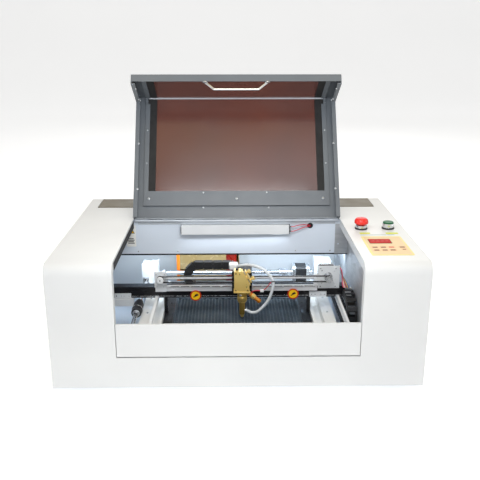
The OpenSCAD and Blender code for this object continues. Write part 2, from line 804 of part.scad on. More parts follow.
// White plates on the beam: motor plate, idler plate, rod ends and joint plates.
module gantry_brackets() color("white") from_front() {
    // Motor plate
    difference() {
        block([196, 248], [beam_y - 4, beam_y - 1], [146, 203]);
        rod_along_y(x_pulley_x, [beam_y - 5, beam_y], belt_z, 11.1);
    }
    block([196, 248], [beam_y - 4, beam_y + 8], [beam_z + beam_h, beam_z + beam_h + 2.5]);
    // Idler plate
    block([-198, -172], [beam_y - 12, beam_y - 9], [142, 160]);
    block([-198, -190], [beam_y - 9, beam_y + 10], [beam_z + beam_h, beam_z + beam_h + 3]);
    difference() {
        block([-200, -170], [belt_y + 8, belt_y + 12], [beam_z + beam_h + 3, 192]);
        rod_along_y(idler_x, [belt_y + 7, belt_y + 13], belt_z, 3 + clear);
    }
    block([-200, -190], [belt_y + 12, beam_y + 10], [beam_z + beam_h + 3, 166]);
    // Blocks that hold the ends of the rod
    for (x = [-188, 187])
        difference() {
            block([x, x + 9], [beam_y + 1, beam_y + 13], [beam_z + beam_h, belt_z + 2]);
            rod_along_x([x - 1, x + 10], beam_y + 7, belt_z - 5, 4);
        }
    // Joint plates
    block([-299, -259], [beam_y - 3, beam_y], [122, 134]);
    block([176, 218], [beam_y - 3, beam_y], [123, 137]);
    // Angle that holds the guide bearing
    block([-300, -228], [beam_y + 2, beam_y + 5], [rod_z + 13, beam_z]);
    block([-300, -253], [beam_y - 8, beam_y + 5], [rod_z - 5, rod_z + 13]);
    // Shelf behind the beam for the X chain
    shelf_z = x_chain_z - x_chain_r - x_chain_h / 2 - 2;
    block([x_chain_x - 10, 14], [beam_y + beam_d, beam_y + beam_d + 2], [shelf_z, 138]);
    block([x_chain_x - 10, 14], [beam_y + beam_d, x_chain_y + 9], [shelf_z, shelf_z + 1.9]);
    // Chain end on the right
    block([beam_x[1], beam_x[1] + 3], [beam_y + 2, beam_y + 30], [beam_z, 146]);
    block([beam_x[1] + 0.2, 280], [beam_y - 0.8, beam_y + 2], [beam_z + 3, 146]);
}

module x_motor() color("black") from_front() {
    half = motor_w / 2;
    block(
        [x_pulley_x - half, x_pulley_x + half], [beam_y - 1, beam_y + 33],
        [belt_z - half, belt_z + half]
    );
    rod_along_y(x_pulley_x, [beam_y - 3, beam_y - 1], belt_z, 11);
    block([x_pulley_x + half, x_pulley_x + half + 6], [beam_y + 16, beam_y + 30], [belt_z + 4, belt_z + 16]);
}

// Drive pulley with its shaft end.
module x_pulley() color("silver") from_front() {
    rod_along_y(x_pulley_x, [belt_y - 4, belt_y + 4], belt_z, pulley_r);
    for (s = [-5.3, 4])
        rod_along_y(x_pulley_x, [belt_y + s, belt_y + s + 1.3], belt_z, 8.5);
    rod_along_y(x_pulley_x, [belt_y + 5.3, beam_y - 3.2], belt_z, 5);
}

module idler_pulley() color("silver") from_front() {
    rod_along_y(idler_x, [belt_y - 4, belt_y + 4], belt_z, pulley_r);
    for (s = [-5.3, 4])
        rod_along_y(idler_x, [belt_y + s, belt_y + s + 1.3], belt_z, 8.5);
    rod_along_y(idler_x, [belt_y + 5.3, belt_y + 14], belt_z, 3);
}

module x_belt() color("black") from_front()
    translate([idler_x, belt_y + belt_w / 2, belt_z]) rotate([90, 0, 0])
        belt_loop(x_pulley_x - idler_x, pulley_r, belt_w);

// Bearing on the guide rod, in its black housing.
module linear_bearing() color("black") from_front()
    difference() {
        union() {
            rod_along_y(rod_x, [beam_y - 62, beam_y - 8], rod_z, 12);
            rod_along_y(rod_x, [beam_y - 44, beam_y - 40], rod_z, 13);
            rod_along_y(rod_x, [beam_y - 8, beam_y + 5], rod_z, 9);
        }
        rod_along_y(rod_x, [beam_y - 63, beam_y + 6], rod_z, 5 + clear);
    }

// Second mirror, on the beam's left end.
module second_mirror() color("darkgoldenrod") from_front() {
    z = beam_z + beam_h;
    block([-342, -310], [beam_y + 8, beam_y + 42], [z, z + 4]);
    block([-342, -338], [beam_y + 8, beam_y + 42], [z + 4, z + 48]);
    translate([-326, beam_y + 25, 190]) rotate([0, 0, -45]) rod_along_y(0, [-3, 3], 0, 12);
    block([-338, -334], [beam_y + 20, beam_y + 30], [z + 4, 190]);
}

// ---- Head ----

module carriage() color("dimgray") from_front() {
    // Block that runs on the rail and the rod
    difference() {
        block([head_x - 24, head_x + 24], [beam_y - 14, beam_y + 13], [beam_z + 15, 190]);
        block([head_x - 25, head_x + 25], [beam_y - 9.2, beam_y + 14], [beam_z + 14, rail_z + 13.4]);
        rod_along_x([head_x - 25, head_x + 25], beam_y + 7, belt_z - 5, 4 + clear);
    }
    // Top plate that carries the chain's moving end
    block([head_x - 24, head_x + 24], [beam_y - 14, x_chain_y + 9], [190, 193]);
    block([head_x - 23.6, head_x - 20.6], [x_chain_y - 8, x_chain_y + 8], [186, 203]);
    // Clamp that takes the hose into the chain
    block([head_x - 30, head_x - 10], [243, 265], [192, 203]);
    // Arm to the head, above and below the belt
    block([head_x - 17, head_x + 15], [belt_y - 8, beam_y - 14], [belt_z + 10, 190]);
    block([head_x - 17, head_x + 15], [belt_y - 8, beam_y - 14], [beam_z + 28, belt_z - 10]);
}

// Brass block whose slanted face carries the mirror, with the mirror's plate and thumb screws.
module head_block() color("goldenrod") from_front() {
    x = [head_x - 19, head_x + 17];
    y = [190, belt_y - 8];
    z = [156, 207];
    slant = 62;
    top_x = x[0] + 17;
    difference() {
        block(x, y, z);
        translate([top_x, y[0] - 1, z[1]]) rotate([0, slant, 0]) block([0, 60], [0, 40], [0, 60]);
    }
    translate([top_x, y[0], z[1]]) rotate([0, slant, 0]) {
        block([2, 40], [0, 21], [-1, 3]);
        block([6, 36], [1, 20], [6, 9]);
        for (p = [11, 31])
            rod_along_z(p, 10, [-4, 12], 2);
        for (p = [11, 31])
            rod_along_z(p, 10, [12, 18], 3.6);
        rod_along_z(21, 10, [3, 6], 6);
    }
}

// Lens tube, its collar and the tapered nozzle with the hose fitting.
module lens_tube() color("goldenrod") from_front() {
    at = [head_x, 202];
    tip_z = 87;
    // Flange, collar, tube and tip
    block([head_x - 20, head_x + 18], [189, belt_y - 8], [153, 156]);
    rod_along_z(at[0], at[1], [129, 153], 11.5);
    rod_along_z(at[0], at[1], [126, 129], 10);
    rod_along_z(at[0], at[1], [tip_z + 8, 126], 7);
    translate([at[0], at[1], tip_z]) cylinder(h = 8, r1 = 3.5, r2 = 6.5);
    translate([at[0], at[1], 104]) rotate([0, 90, -6]) cylinder(h = 13, r = 3);
}

// Red-dot pointer: a tube held at a slant in a clamp on the head's right side.
module red_dot_pointer() color("darkorange") from_front() {
    translate([head_x + 19, 199, 147]) rotate([0, 130, 0]) {
        cylinder(h = 31, r = 5);
        translate([0, 0, 4]) cylinder(h = 9, r = 6.5);
    }
    block([head_x + 11.7, head_x + 20], [196, 202], [147, 153]);
}

// Air hose from the nozzle round to its clamp on the carriage.
module air_hose() color("whitesmoke") from_front() {
    route = [
        [head_x + 12, 201, 103.5], [head_x + 22, 200, 99], [head_x + 35, 198, 101],
        [head_x + 49, 196, 114], [head_x + 62, 195, 132], [head_x + 70, 195, 153],
        [head_x + 73.5, 196, 171], [head_x + 69, 199, 188], [head_x + 56, 204, 202],
        [head_x + 39, 211, 210.5], [head_x + 22, 221, 212], [head_x + 6, 232, 208],
        [head_x - 8, 243, 202], [head_x - 20, 254, 198.5]
    ];
    swept(smooth(route, 3), 3.6, 10);
}

// Two thin leads from the pointer to the hose, through a connector.
module pointer_leads() color("crimson") from_front() {
    for (s = [-0.9, 0.9])
        swept(
            smooth([
                [head_x + 20, 199 + s, 149], [head_x + 27, 198 + s, 155], [head_x + 37, 197 + s, 156.5],
                [head_x + 47, 196 + s, 156.5], [head_x + 56, 196 + s, 162], [head_x + 63, 196 + s, 171],
                [head_x + 69, 196 + s, 179]
            ], 2), 0.7, 6
        );
    block([head_x + 43, head_x + 51], [193.5, 198.5], [153.5, 159]);
}

// One hollow link of a drag chain, lying along X.
module chain_link(l, w, h)
    difference() {
        block([-l / 2, l / 2], [-w / 2, w / 2], [-h / 2, h / 2]);
        block([-l / 2 - 1, l / 2 + 1], [-w / 2 + 2, w / 2 - 2], [-h / 2 + 2, h / 2 - 2]);
    }

// Two straight runs along X joined by a half turn of the given number of steps, about the
// origin. Pins on both sides join each link to the next one.
module drag_chain(pitch, w, h, r, steps, upper, lower) {
    step = 180 / steps;
    start = -r * tan(step / 2);
    for (run = [[upper, r], [lower, -r]])
        for (i = [0:run[0] - 1])
            translate([start + i * pitch, 0, run[1]]) {
                translate([pitch / 2, 0, 0]) chain_link(pitch - 0.6, w, h);
                chain_pins(w);
            }
    for (i = [1:steps - 1])
        rotate([0, -i * step, 0]) translate([0, 0, r])
            chain_link(2 * (r - h / 2) * tan(step / 2) - 0.4, w, h - 1);
    for (i = [1:steps - 2])
        rotate([0, -(i + 0.5) * step, 0]) translate([0, 0, r / cos(step / 2)]) chain_pins(w);
    // End lug of the upper run
    end = start + upper * pitch;
    block([end - 0.5, end + 1], [-w / 2 + 1, w / 2 - 1], [r - h / 2 + 5, r + h / 2]);
}

module chain_pins(w)
    for (y = [[-w / 2 - 0.4, -w / 2 + 2.4], [w / 2 - 2.4, w / 2 + 0.4]])
        rod_along_y(0, y, 0, 4.5);

module x_chain() color("black") from_front()
    translate([x_chain_x, x_chain_y, x_chain_z])
        drag_chain(22.8, 18, x_chain_h, x_chain_r, 4, 4, 5);

module y_chain() color("black") from_front()
    translate([268, 200, 100]) rotate([0, 0, 90])
        drag_chain(20, 24, 18, 38, 6, 2, 12);

// Six motor leads, from the X motor into the Y chain.
module stepper_leads() color("pink") from_front()
    for (i = [0:5])
        swept(
            smooth([
                [x_pulley_x + 27.2, beam_y + 17 + 2.4 * i, 186], [x_pulley_x + 32, beam_y + 15 + 2.4 * i, 190],
                [x_pulley_x + 35, beam_y + 9 + 2.4 * i, 186], [x_pulley_x + 36, beam_y + 5 + 2 * i, 175],
                [x_pulley_x + 36 + 1.6 * i, beam_y + 3 + i, 163], [x_pulley_x + 37 + 2.4 * i, beam_y - 1, 154],
                [x_pulley_x + 39 + 2.6 * i, beam_y - 5, 147.2]
            ], 2), 1.05, 8
        );

base_pan();
left_housing();
right_housing();
front_panel();
rear_panel();
tube_bay_panel();
electronics_partition();
rubber_feet();
piano_hinges();
panel_overlay();
button_bezels();
lamp_housing();
lamp_wires();
exhaust_duct();
exhaust_spigot();
laser_tube();
tube_saddles();
first_mirror();
power_supply();
control_board();
mains_inlet();
bed_frame();
honeycomb();
y_rails();
guide_rod();
rear_brackets();
y_motor();
y_belts();
y_idlers();
rear_cover();
front_flap();
lid_shell();
lid_hinge_leaf();
lid_frame();
lid_window();
lid_front_window();
lid_handle();
estop_button();
start_button();
rocker_switch();
fan_rotor();
cross_shaft();
gantry_beam();
x_rail();
gantry_brackets();
x_motor();
x_pulley();
idler_pulley();
x_belt();
linear_bearing();
second_mirror();
carriage();
head_block();
lens_tube();
red_dot_pointer();
pointer_leads();
air_hose();
x_chain();
y_chain();
stepper_leads();
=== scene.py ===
"""Looks of the desktop laser cutter: camera, studio, materials and the fine pieces round its CAD frame.

Pieces are drawn in millimetres, as the part's source is: x from the middle, y back from the
body's front face, z up from the floor. Shape.make() turns them into metres in the row frame.
"""

import json
from itertools import product
from math import cos, pi, radians, sin, sqrt, tan

import bpy
from mathutils import Matrix, Vector


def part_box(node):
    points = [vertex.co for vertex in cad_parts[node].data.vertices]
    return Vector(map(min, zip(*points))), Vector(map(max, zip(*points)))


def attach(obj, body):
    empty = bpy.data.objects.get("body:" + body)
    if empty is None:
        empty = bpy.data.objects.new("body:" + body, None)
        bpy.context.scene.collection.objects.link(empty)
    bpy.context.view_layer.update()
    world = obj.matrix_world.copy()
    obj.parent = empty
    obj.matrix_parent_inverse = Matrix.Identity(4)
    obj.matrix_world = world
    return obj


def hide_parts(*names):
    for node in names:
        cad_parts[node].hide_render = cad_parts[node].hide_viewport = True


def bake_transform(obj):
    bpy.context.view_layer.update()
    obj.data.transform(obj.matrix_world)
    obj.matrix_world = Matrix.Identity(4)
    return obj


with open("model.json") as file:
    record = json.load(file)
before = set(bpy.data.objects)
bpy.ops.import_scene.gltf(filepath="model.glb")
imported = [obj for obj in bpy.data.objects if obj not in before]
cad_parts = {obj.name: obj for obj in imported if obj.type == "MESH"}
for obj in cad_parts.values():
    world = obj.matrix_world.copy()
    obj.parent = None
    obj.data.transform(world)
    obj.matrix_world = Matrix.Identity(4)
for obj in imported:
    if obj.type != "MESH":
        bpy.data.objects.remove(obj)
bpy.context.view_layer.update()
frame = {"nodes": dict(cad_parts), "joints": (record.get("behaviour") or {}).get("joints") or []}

MM = 0.001
FRONT_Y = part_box("front_panel")[0].y
JOINTS = {j["name"]: j for j in frame["joints"]}
LEFT, RIGHT, FRONT, BACK, DOWN, UP = (-1, 0, 0), (1, 0, 0), (0, -1, 0), (0, 1, 0), (0, 0, -1), (0, 0, 1)

# Places of the drives in millimetres, as in the part's source
BEAM_LOW, BEAM_FRONT = 122, 240
PULLEY_X, IDLER_X = 220, -185
X_BELT_Y, X_BELT_Z = 221, 176
SHAFT_Y, SHAFT_Z = 425, 118
Y_BELTS_X, Y_IDLERS_Y = (-196, 246), 40
PULLEY_R = 6.3


def row_point(p):
    """A point in millimetres from the front face, as metres in the row frame."""
    return Vector((p[0] * MM, p[1] * MM + FRONT_Y, p[2] * MM))


def limits(node):
    """A CAD node's limits along x, y and z, in millimetres from the front face."""
    low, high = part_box(node)
    low, high = low - Vector((0, FRONT_Y, 0)), high - Vector((0, FRONT_Y, 0))
    return [(a / MM, b / MM) for a, b in zip(low, high)]


# ---- camera, light and floor


def add_object(name, data):
    made = bpy.data.objects.new(name, data)
    bpy.context.scene.collection.objects.link(made)
    return made


def add_camera():
    data = bpy.data.cameras.new("camera")
    data.sensor_width = 36
    data.lens = 50.9
    data.clip_end = 60
    pitch, yaw = 17.7, 0.9
    cam = add_object("camera", data)
    cam.location = (-0.0177, -1.5904, 0.7609)
    cam.rotation_euler = (radians(90 - pitch), 0, radians(-yaw))
    bpy.context.scene.camera = cam


def add_area(name, place, aim, size, power, colour):
    data = bpy.data.lights.new(name, "AREA")
    data.shape = "RECTANGLE"
    data.size, data.size_y = size
    data.energy = power
    data.color = colour
    lamp = add_object(name, data)
    lamp.location = place
    lamp.rotation_euler = (Vector(aim) - Vector(place)).to_track_quat("-Z", "Y").to_euler()
    lamp.visible_camera = False


def add_studio():
    """Soft boxes round the object, small fills inside it, and a pale sweep under and behind."""
    centre = (0, 0, 0.2)
    add_area("overhead", (0.1, -0.2, 2.4), centre, (2.4, 2.0), 13, (1.0, 0.76, 0.34))
    add_area("front", (-0.15, -2.7, 1.05), centre, (1.9, 1.0), 11, (0.94, 0.97, 1.0))
    add_area("key", (0.35, -2.0, 2.3), centre, (1.4, 1.2), 11, (1.0, 0.99, 0.98))
    add_area("left", (-2.6, -0.4, 1.2), centre, (1.4, 1.8), 12, (0.96, 0.98, 1.0))
    add_area("right", (2.6, -0.2, 1.3), centre, (1.4, 1.8), 12, (1.0, 0.98, 0.95))
    add_area("back", (0.3, 2.9, 1.9), centre, (2.4, 1.6), 18, (1, 1, 1))
    add_area("bay_fill", (0.0, -0.45, 0.8), (0, 0.0, 0.14), (0.5, 0.2), 3.0, (0.95, 0.975, 1.0))
    lamp = limits("lamp_housing")
    under = row_point((sum(lamp[0]) / 2, lamp[1][0], lamp[2][0] - 2))
    add_area("bay_lamp", under, row_point((0, 210, 90)), (0.26, 0.01), 0.1, (0.93, 0.97, 1.0))
    rear = limits("tube_bay_panel")
    under = row_point((0, rear[1][0] + 34, rear[2][0] - 6))
    add_area("rear_fill", under, row_point((0, rear[1][0] + 190, 70)), (0.56, 0.03), 1.1,
             (0.78, 0.9, 1.0))
    world = bpy.data.worlds.new("studio")
    world.use_nodes = True
    sky = world.node_tree.nodes["Background"].inputs
    sky["Color"].default_value = (0.98, 0.99, 1, 1)
    sky["Strength"].default_value = 0.34
    bpy.context.scene.world = world
    bpy.context.scene.view_settings.view_transform = "Standard"

    width, depth, rise, radius, steps = 14.0, 7.0, 6.0, 2.5, 16
    profile = [(-depth, 0.0), (depth - radius, 0.0)]
    for i in range(1, steps + 1):
        a = pi / 2 * i / steps
        profile.append((depth - radius + radius * sin(a), radius - radius * cos(a)))
    profile.append((depth, rise))
    points = [(x, y, z) for y, z in profile for x in (-width / 2, width / 2)]
    faces = [(2 * i, 2 * i + 1, 2 * i + 3, 2 * i + 2) for i in range(len(profile) - 1)]
    mesh = bpy.data.meshes.new("floor")
    mesh.from_pydata(points, [], faces)
    mesh.shade_smooth()
    mesh.materials.append(MATERIALS["floor"])
    add_object("floor", mesh)


# ---- materials


def rgb(tone):
    """An sRGB colour of 0 to 255 as linear values."""
    def linear(c):
        c /= 255
        return c / 12.92 if c <= 0.04045 else ((c + 0.055) / 1.055) ** 2.4

    return (*map(linear, tone), 1)


MATERIALS = {}
PAINT = dict(Coat_Weight=0.12, Coat_Roughness=0.25, Specular_IOR_Level=0.4)
FILM = dict(Specular_IOR_Level=0.15)

# Two tones, roughness, patches a metre, edge rounding, and grain a metre and its depth where they
# aren't the usual ones, then what else differs
SURFACES = {
    "white_paint": ((221, 223, 224), (215, 217, 219), 0.42, 4, 0.6, 1100, 0.05, PAINT),
    "wall_paint": ((218, 227, 238), (210, 220, 233), 0.45, 5, 0.5, 1100, 0.05, PAINT),
    "slate_paint": ((101, 107, 113), (92, 98, 105), 0.5, 7, 0.7, 900, 0.06,
        dict(PAINT, worn=(148, 155, 162))),
    "cover_paint": ((100, 90, 62), (91, 82, 56), 0.48, 6, 0.6, 900, 0.08, PAINT),
    "bracket_paint": ((228, 231, 234), (216, 220, 224), 0.38, 14, 0.4, 1000, 0.06, PAINT),
    "galvanised": ((190, 193, 197), (170, 174, 179), 0.4, 20, 0.3, 160, 0.03,
        dict(Metallic=0.4, spread=0.1, stretch=(1, 1, 6))),
    "chrome": ((226, 228, 231), (206, 209, 213), 0.14, 16, 0.2, 900, 0.02,
        dict(Metallic=1, spread=0.05, stretch=(4, 4, 4))),
    "zinc": ((226, 230, 234), (206, 211, 216), 0.3, 40, 0.2, 1500, 0.02, dict(Metallic=0.6, spread=0.08)),
    "hinge_steel": ((204, 210, 217), (188, 194, 202), 0.45, 8, 0.1, 900, 0.01,
        dict(Metallic=0.15, spread=0.05)),
    "aluminium": ((238, 240, 240), (228, 230, 231), 0.4, 12, 0.4, 420, 0.05,
        dict(Metallic=0.05, spread=0.07, stretch=(8, 0.35, 8))),
    "rail_steel": ((244, 246, 249), (222, 225, 230), 0.24, 5, 0.3, 600, 0.02,
        dict(Metallic=0.2, spread=0.08, stretch=(0.6, 6, 6))),
    "turned_aluminium": ((224, 226, 229), (204, 207, 211), 0.27, 30, 0.25, 1300, 0.02, dict(Metallic=0.8)),
    "black_anodised": ((22, 22, 26), (32, 32, 37), 0.3, 18, 0.6, 600, 0.03,
        dict(Metallic=0.3, stretch=(0.4, 6, 6), worn=(96, 98, 104))),
    "motor_black": ((26, 26, 28), (38, 38, 40), 0.42, 20, 0.4, 1900, 0.12,
        dict(Metallic=0.3, stretch=(8, 1, 1), worn=(80, 80, 82))),
    "black_plastic": ((24, 25, 28), (34, 35, 39), 0.46, 26, 0.35, 1600, 0.1, dict(worn=(62, 64, 68))),
    "black_rubber": ((26, 26, 27), (36, 36, 37), 0.78, 30, 0.4, 900, 0.2),
    "brass": ((255, 226, 142), (244, 206, 114), 0.32, 14, 0.6, 900, 0.012,
        dict(Metallic=0.55, worn=(255, 240, 178))),
    "dark_brass": ((206, 172, 92), (182, 146, 66), 0.36, 18, 0.5, 1200, 0.015,
        dict(Metallic=0.8, worn=(246, 222, 148))),
    "orange_anodised": ((238, 152, 40), (216, 124, 24), 0.3, 40, 0.4, 1300, 0.02,
        dict(Metallic=0.55, worn=(255, 210, 124))),
    "amber_paint": ((154, 134, 98), (138, 116, 74), 0.24, 16, 0.6, 500, 0.03,
        dict(Metallic=0.1, spread=0.08, Coat_Weight=0.4)),
    # Tones of the exhaust duct's painted reflection
    "orange_reflection": ((240, 134, 40), (222, 110, 24), 0.35, 20, 0.35),
    "red_brown_reflection": ((138, 32, 16), (104, 20, 12), 0.3, 18, 0.35, dict(Coat_Weight=0.4)),
    "bed_dark": ((34, 37, 42), (26, 29, 33), 0.5, 12, 0.4, 500, 0.12, dict(Metallic=0.2, worn=(90, 96, 102))),
    "comb_steel": ((122, 136, 148), (92, 106, 118), 0.42, 14, 0, 900, 0.04, dict(Metallic=0.35)),
    "comb_shade_floor": ((50, 60, 68), (62, 73, 82), 0.7, 14, 0),
    "hose": ((222, 226, 230), (208, 214, 220), 0.3, 30, 0, 600, 0.04,
        dict(Subsurface_Weight=0.25, Coat_Weight=0.3, Subsurface_Radius=(0.004, 0.004, 0.004))),
    "white_plastic": ((236, 238, 240), (224, 227, 230), 0.36, 24, 0.4, 1400, 0.06),
    "nylon": ((226, 222, 206), (212, 207, 190), 0.5, 20, 0.5,
        dict(Subsurface_Weight=0.1, Subsurface_Radius=(0.004, 0.004, 0.003))),
    "board_green": ((24, 92, 52), (16, 74, 42), 0.35, 60, 0.2, 700, 0.12, dict(Coat_Weight=0.4)),
    "chip_black": ((30, 30, 32), (40, 40, 42), 0.5, 50, 0.2),
    "pointer_glow": ((120, 8, 10), (150, 14, 12), 0.1, 60, 0),
    "film_cream": ((224, 200, 156), (218, 192, 144), 0.35, 12, 0.2, 1500, 0.05, FILM),
    "film_edge": ((230, 218, 152), (224, 208, 132), 0.35, 14, 0.1, FILM),
    "film_key": ((226, 188, 146), (220, 178, 134), 0.4, 18, 0.1, FILM),
    "film_brown": ((104, 40, 30), (86, 34, 26), 0.45, 40, 0, FILM),
    "film_red": ((208, 56, 52), (190, 46, 44), 0.4, 40, 0, FILM),
    "display_red": ((196, 52, 44), (178, 42, 38), 0.55, 30, 0.3, 300, 0.03, dict(Specular_IOR_Level=0.1)),
    "display_mark": ((232, 118, 104), (224, 104, 92), 0.3, 40, 0),
    "label_lime": ((216, 222, 60), (200, 208, 40), 0.4, 30, 0.1, FILM),
    "label_teal": ((140, 176, 160), (124, 164, 150), 0.45, 30, 0, FILM),
    "red_plastic": ((238, 46, 36), (222, 32, 28), 0.3, 22, 0.4, 1200, 0.05,
        dict(worn=(250, 92, 78), Coat_Weight=0.25)),
    "green_plastic": ((14, 104, 62), (8, 90, 52), 0.4, 22, 0.3, 1200, 0.05, dict(Specular_IOR_Level=0.25)),
    "sticker_white": ((244, 244, 240), (236, 236, 232), 0.4, 50, 0.1),
    "sticker_yellow": ((250, 206, 30), (246, 190, 16), 0.35, 50, 0),
    "sticker_red": ((206, 44, 18), (190, 32, 12), 0.35, 50, 0),
    "sticker_black": ((24, 22, 20), (36, 32, 30), 0.45, 50, 0),
    "lamp_tube": ((244, 246, 250), (236, 240, 246), 0.25, 20, 0),
    "floor": ((246, 246, 246), (243, 243, 243), 0.7, 1.5, 0, 60, 0.02,
        dict(Emission_Color=(1, 0.995, 0.985, 1), Emission_Strength=0.42)),
    "glass": ((232, 240, 244), (226, 236, 242), 0.04, 10, 0, 60, 0.01,
        dict(spread=0.02, Transmission_Weight=0.92, IOR=1.47)),
    "acrylic": ((118, 72, 62), (88, 68, 68), 0.17, 2.6, 0, 30, 0,
        dict(spread=0.05, Transmission_Weight=0.66, IOR=1.49, Specular_IOR_Level=0.45)),
}
LEADS = {
    "pink": (240, 96, 130), "white": (236, 234, 232), "orange": (236, 130, 42), "purple": (134, 74, 150),
    "yellow": (238, 206, 54), "blue": (66, 120, 200), "red": (206, 30, 52), "black": (34, 32, 34),
}


def surface(name, colour, second, rough, blotch, edge, grain=700, depth=0.08,
            spread=0.06, stretch=(1, 1, 1), worn=None, **sockets):
    """A material with two tones in soft patches, uneven gloss, a fine grain and softened edges.

    colour and second are its tones, blotch is the number of patches a metre, spread is how far
    the roughness varies, grain is the number of bumps a metre and depth their strength, edge is
    the rounding in millimetres, stretch draws the pattern out, and worn is a lighter
    tone put on all edges, partly edge wear and partly painted highlight.
    sockets are the shader's own, the spaces in their names written as underscores.
    """
    mat = bpy.data.materials.new(name)
    mat.use_nodes = True
    tree = mat.node_tree
    shader = tree.nodes["Principled BSDF"]
    link = tree.links.new

    def fill(node, values):
        for key, value in values.items():
            node.inputs[key.replace("_", " ")].default_value = value

    def add(kind, **values):
        node = tree.nodes.new("ShaderNode" + kind)
        fill(node, values)
        return node

    coords = add("TexCoord")
    mapping = add("Mapping", Scale=stretch)
    link(coords.outputs["Object"], mapping.inputs["Vector"])

    def noise(scale, detail):
        node = add("TexNoise", Scale=scale, Detail=detail)
        link(mapping.outputs["Vector"], node.inputs["Vector"])
        return node.outputs["Fac"]

    ramp = add("ValToRGB")
    for stop, place, tone in zip(ramp.color_ramp.elements, (0.3, 0.7), (colour, second)):
        stop.position, stop.color = place, rgb(tone)
    link(noise(blotch, 4), ramp.inputs["Fac"])
    tone = ramp.outputs["Color"]

    gloss = add("MapRange", From_Min=0.3, From_Max=0.7,
                To_Min=max(0.02, rough - spread), To_Max=min(1.0, rough + spread))
    link(noise(blotch * 5, 3), gloss.inputs["Value"])
    link(gloss.outputs["Result"], shader.inputs["Roughness"])

    bump = add("Bump", Strength=depth, Distance=0.0006)
    link(noise(grain, 2), bump.inputs["Height"])
    if edge:
        bevel = add("Bevel", Radius=edge * MM)
        bevel.samples = 4
        link(bevel.outputs["Normal"], bump.inputs["Normal"])
        # A lighter tone on every edge: partly edge wear, partly painted highlight
        if worn:
            geometry = add("NewGeometry")
            dot = add("VectorMath")
            dot.operation = "DOT_PRODUCT"
            link(bevel.outputs["Normal"], dot.inputs[0])
            link(geometry.outputs["Normal"], dot.inputs[1])
            mask = add("MapRange", From_Min=0.995, From_Max=0.93)
            link(dot.outputs["Value"], mask.inputs["Value"])
            mix = add("Mix")
            mix.data_type = "RGBA"
            mix.inputs["B"].default_value = rgb(worn)
            link(mask.outputs["Result"], mix.inputs["Factor"])
            link(tone, mix.inputs["A"])
            tone = mix.outputs["Result"]
    link(bump.outputs["Normal"], shader.inputs["Normal"])
    link(tone, shader.inputs["Base Color"])
    fill(shader, sockets)
    MATERIALS[name] = mat


def make_materials():
    for name, row in SURFACES.items():
        extra = row[-1] if isinstance(row[-1], dict) else {}
        surface(name, *row[:-1] if extra else row, **extra)
    for lead, tone in LEADS.items():
        dark = tuple(int(c * 0.88) for c in tone)
        surface("lead_" + lead, tone, dark, 0.36, 60, 0, 500, 0.04, Coat_Weight=0.2)


# ---- mesh building


def basis(place, axis, turn=0.0):
    """A matrix whose z runs along axis, with its origin at place, in millimetres."""
    rotation = Vector(axis).to_track_quat("Z", "Y").to_matrix().to_4x4()
    return shift(*place) @ rotation @ spin(turn)


def shift(x, y, z):
    return Matrix.Translation((x, y, z))


def spin(angle, axis="Z"):
    return Matrix.Rotation(angle, 4, axis)


def facing_front(x, y, z):
    """Stands a drawing in x and y upright, with its z towards the front."""
    return Matrix(((1, 0, 0, x), (0, 0, -1, y), (0, 1, 0, z), (0, 0, 0, 1)))


def facing_right(x, y, z):
    """Lays a drawing's x and y along y and z, with its z to the right."""
    return Matrix(((0, 0, 1, x), (1, 0, 0, y), (0, 1, 0, z), (0, 0, 0, 1)))


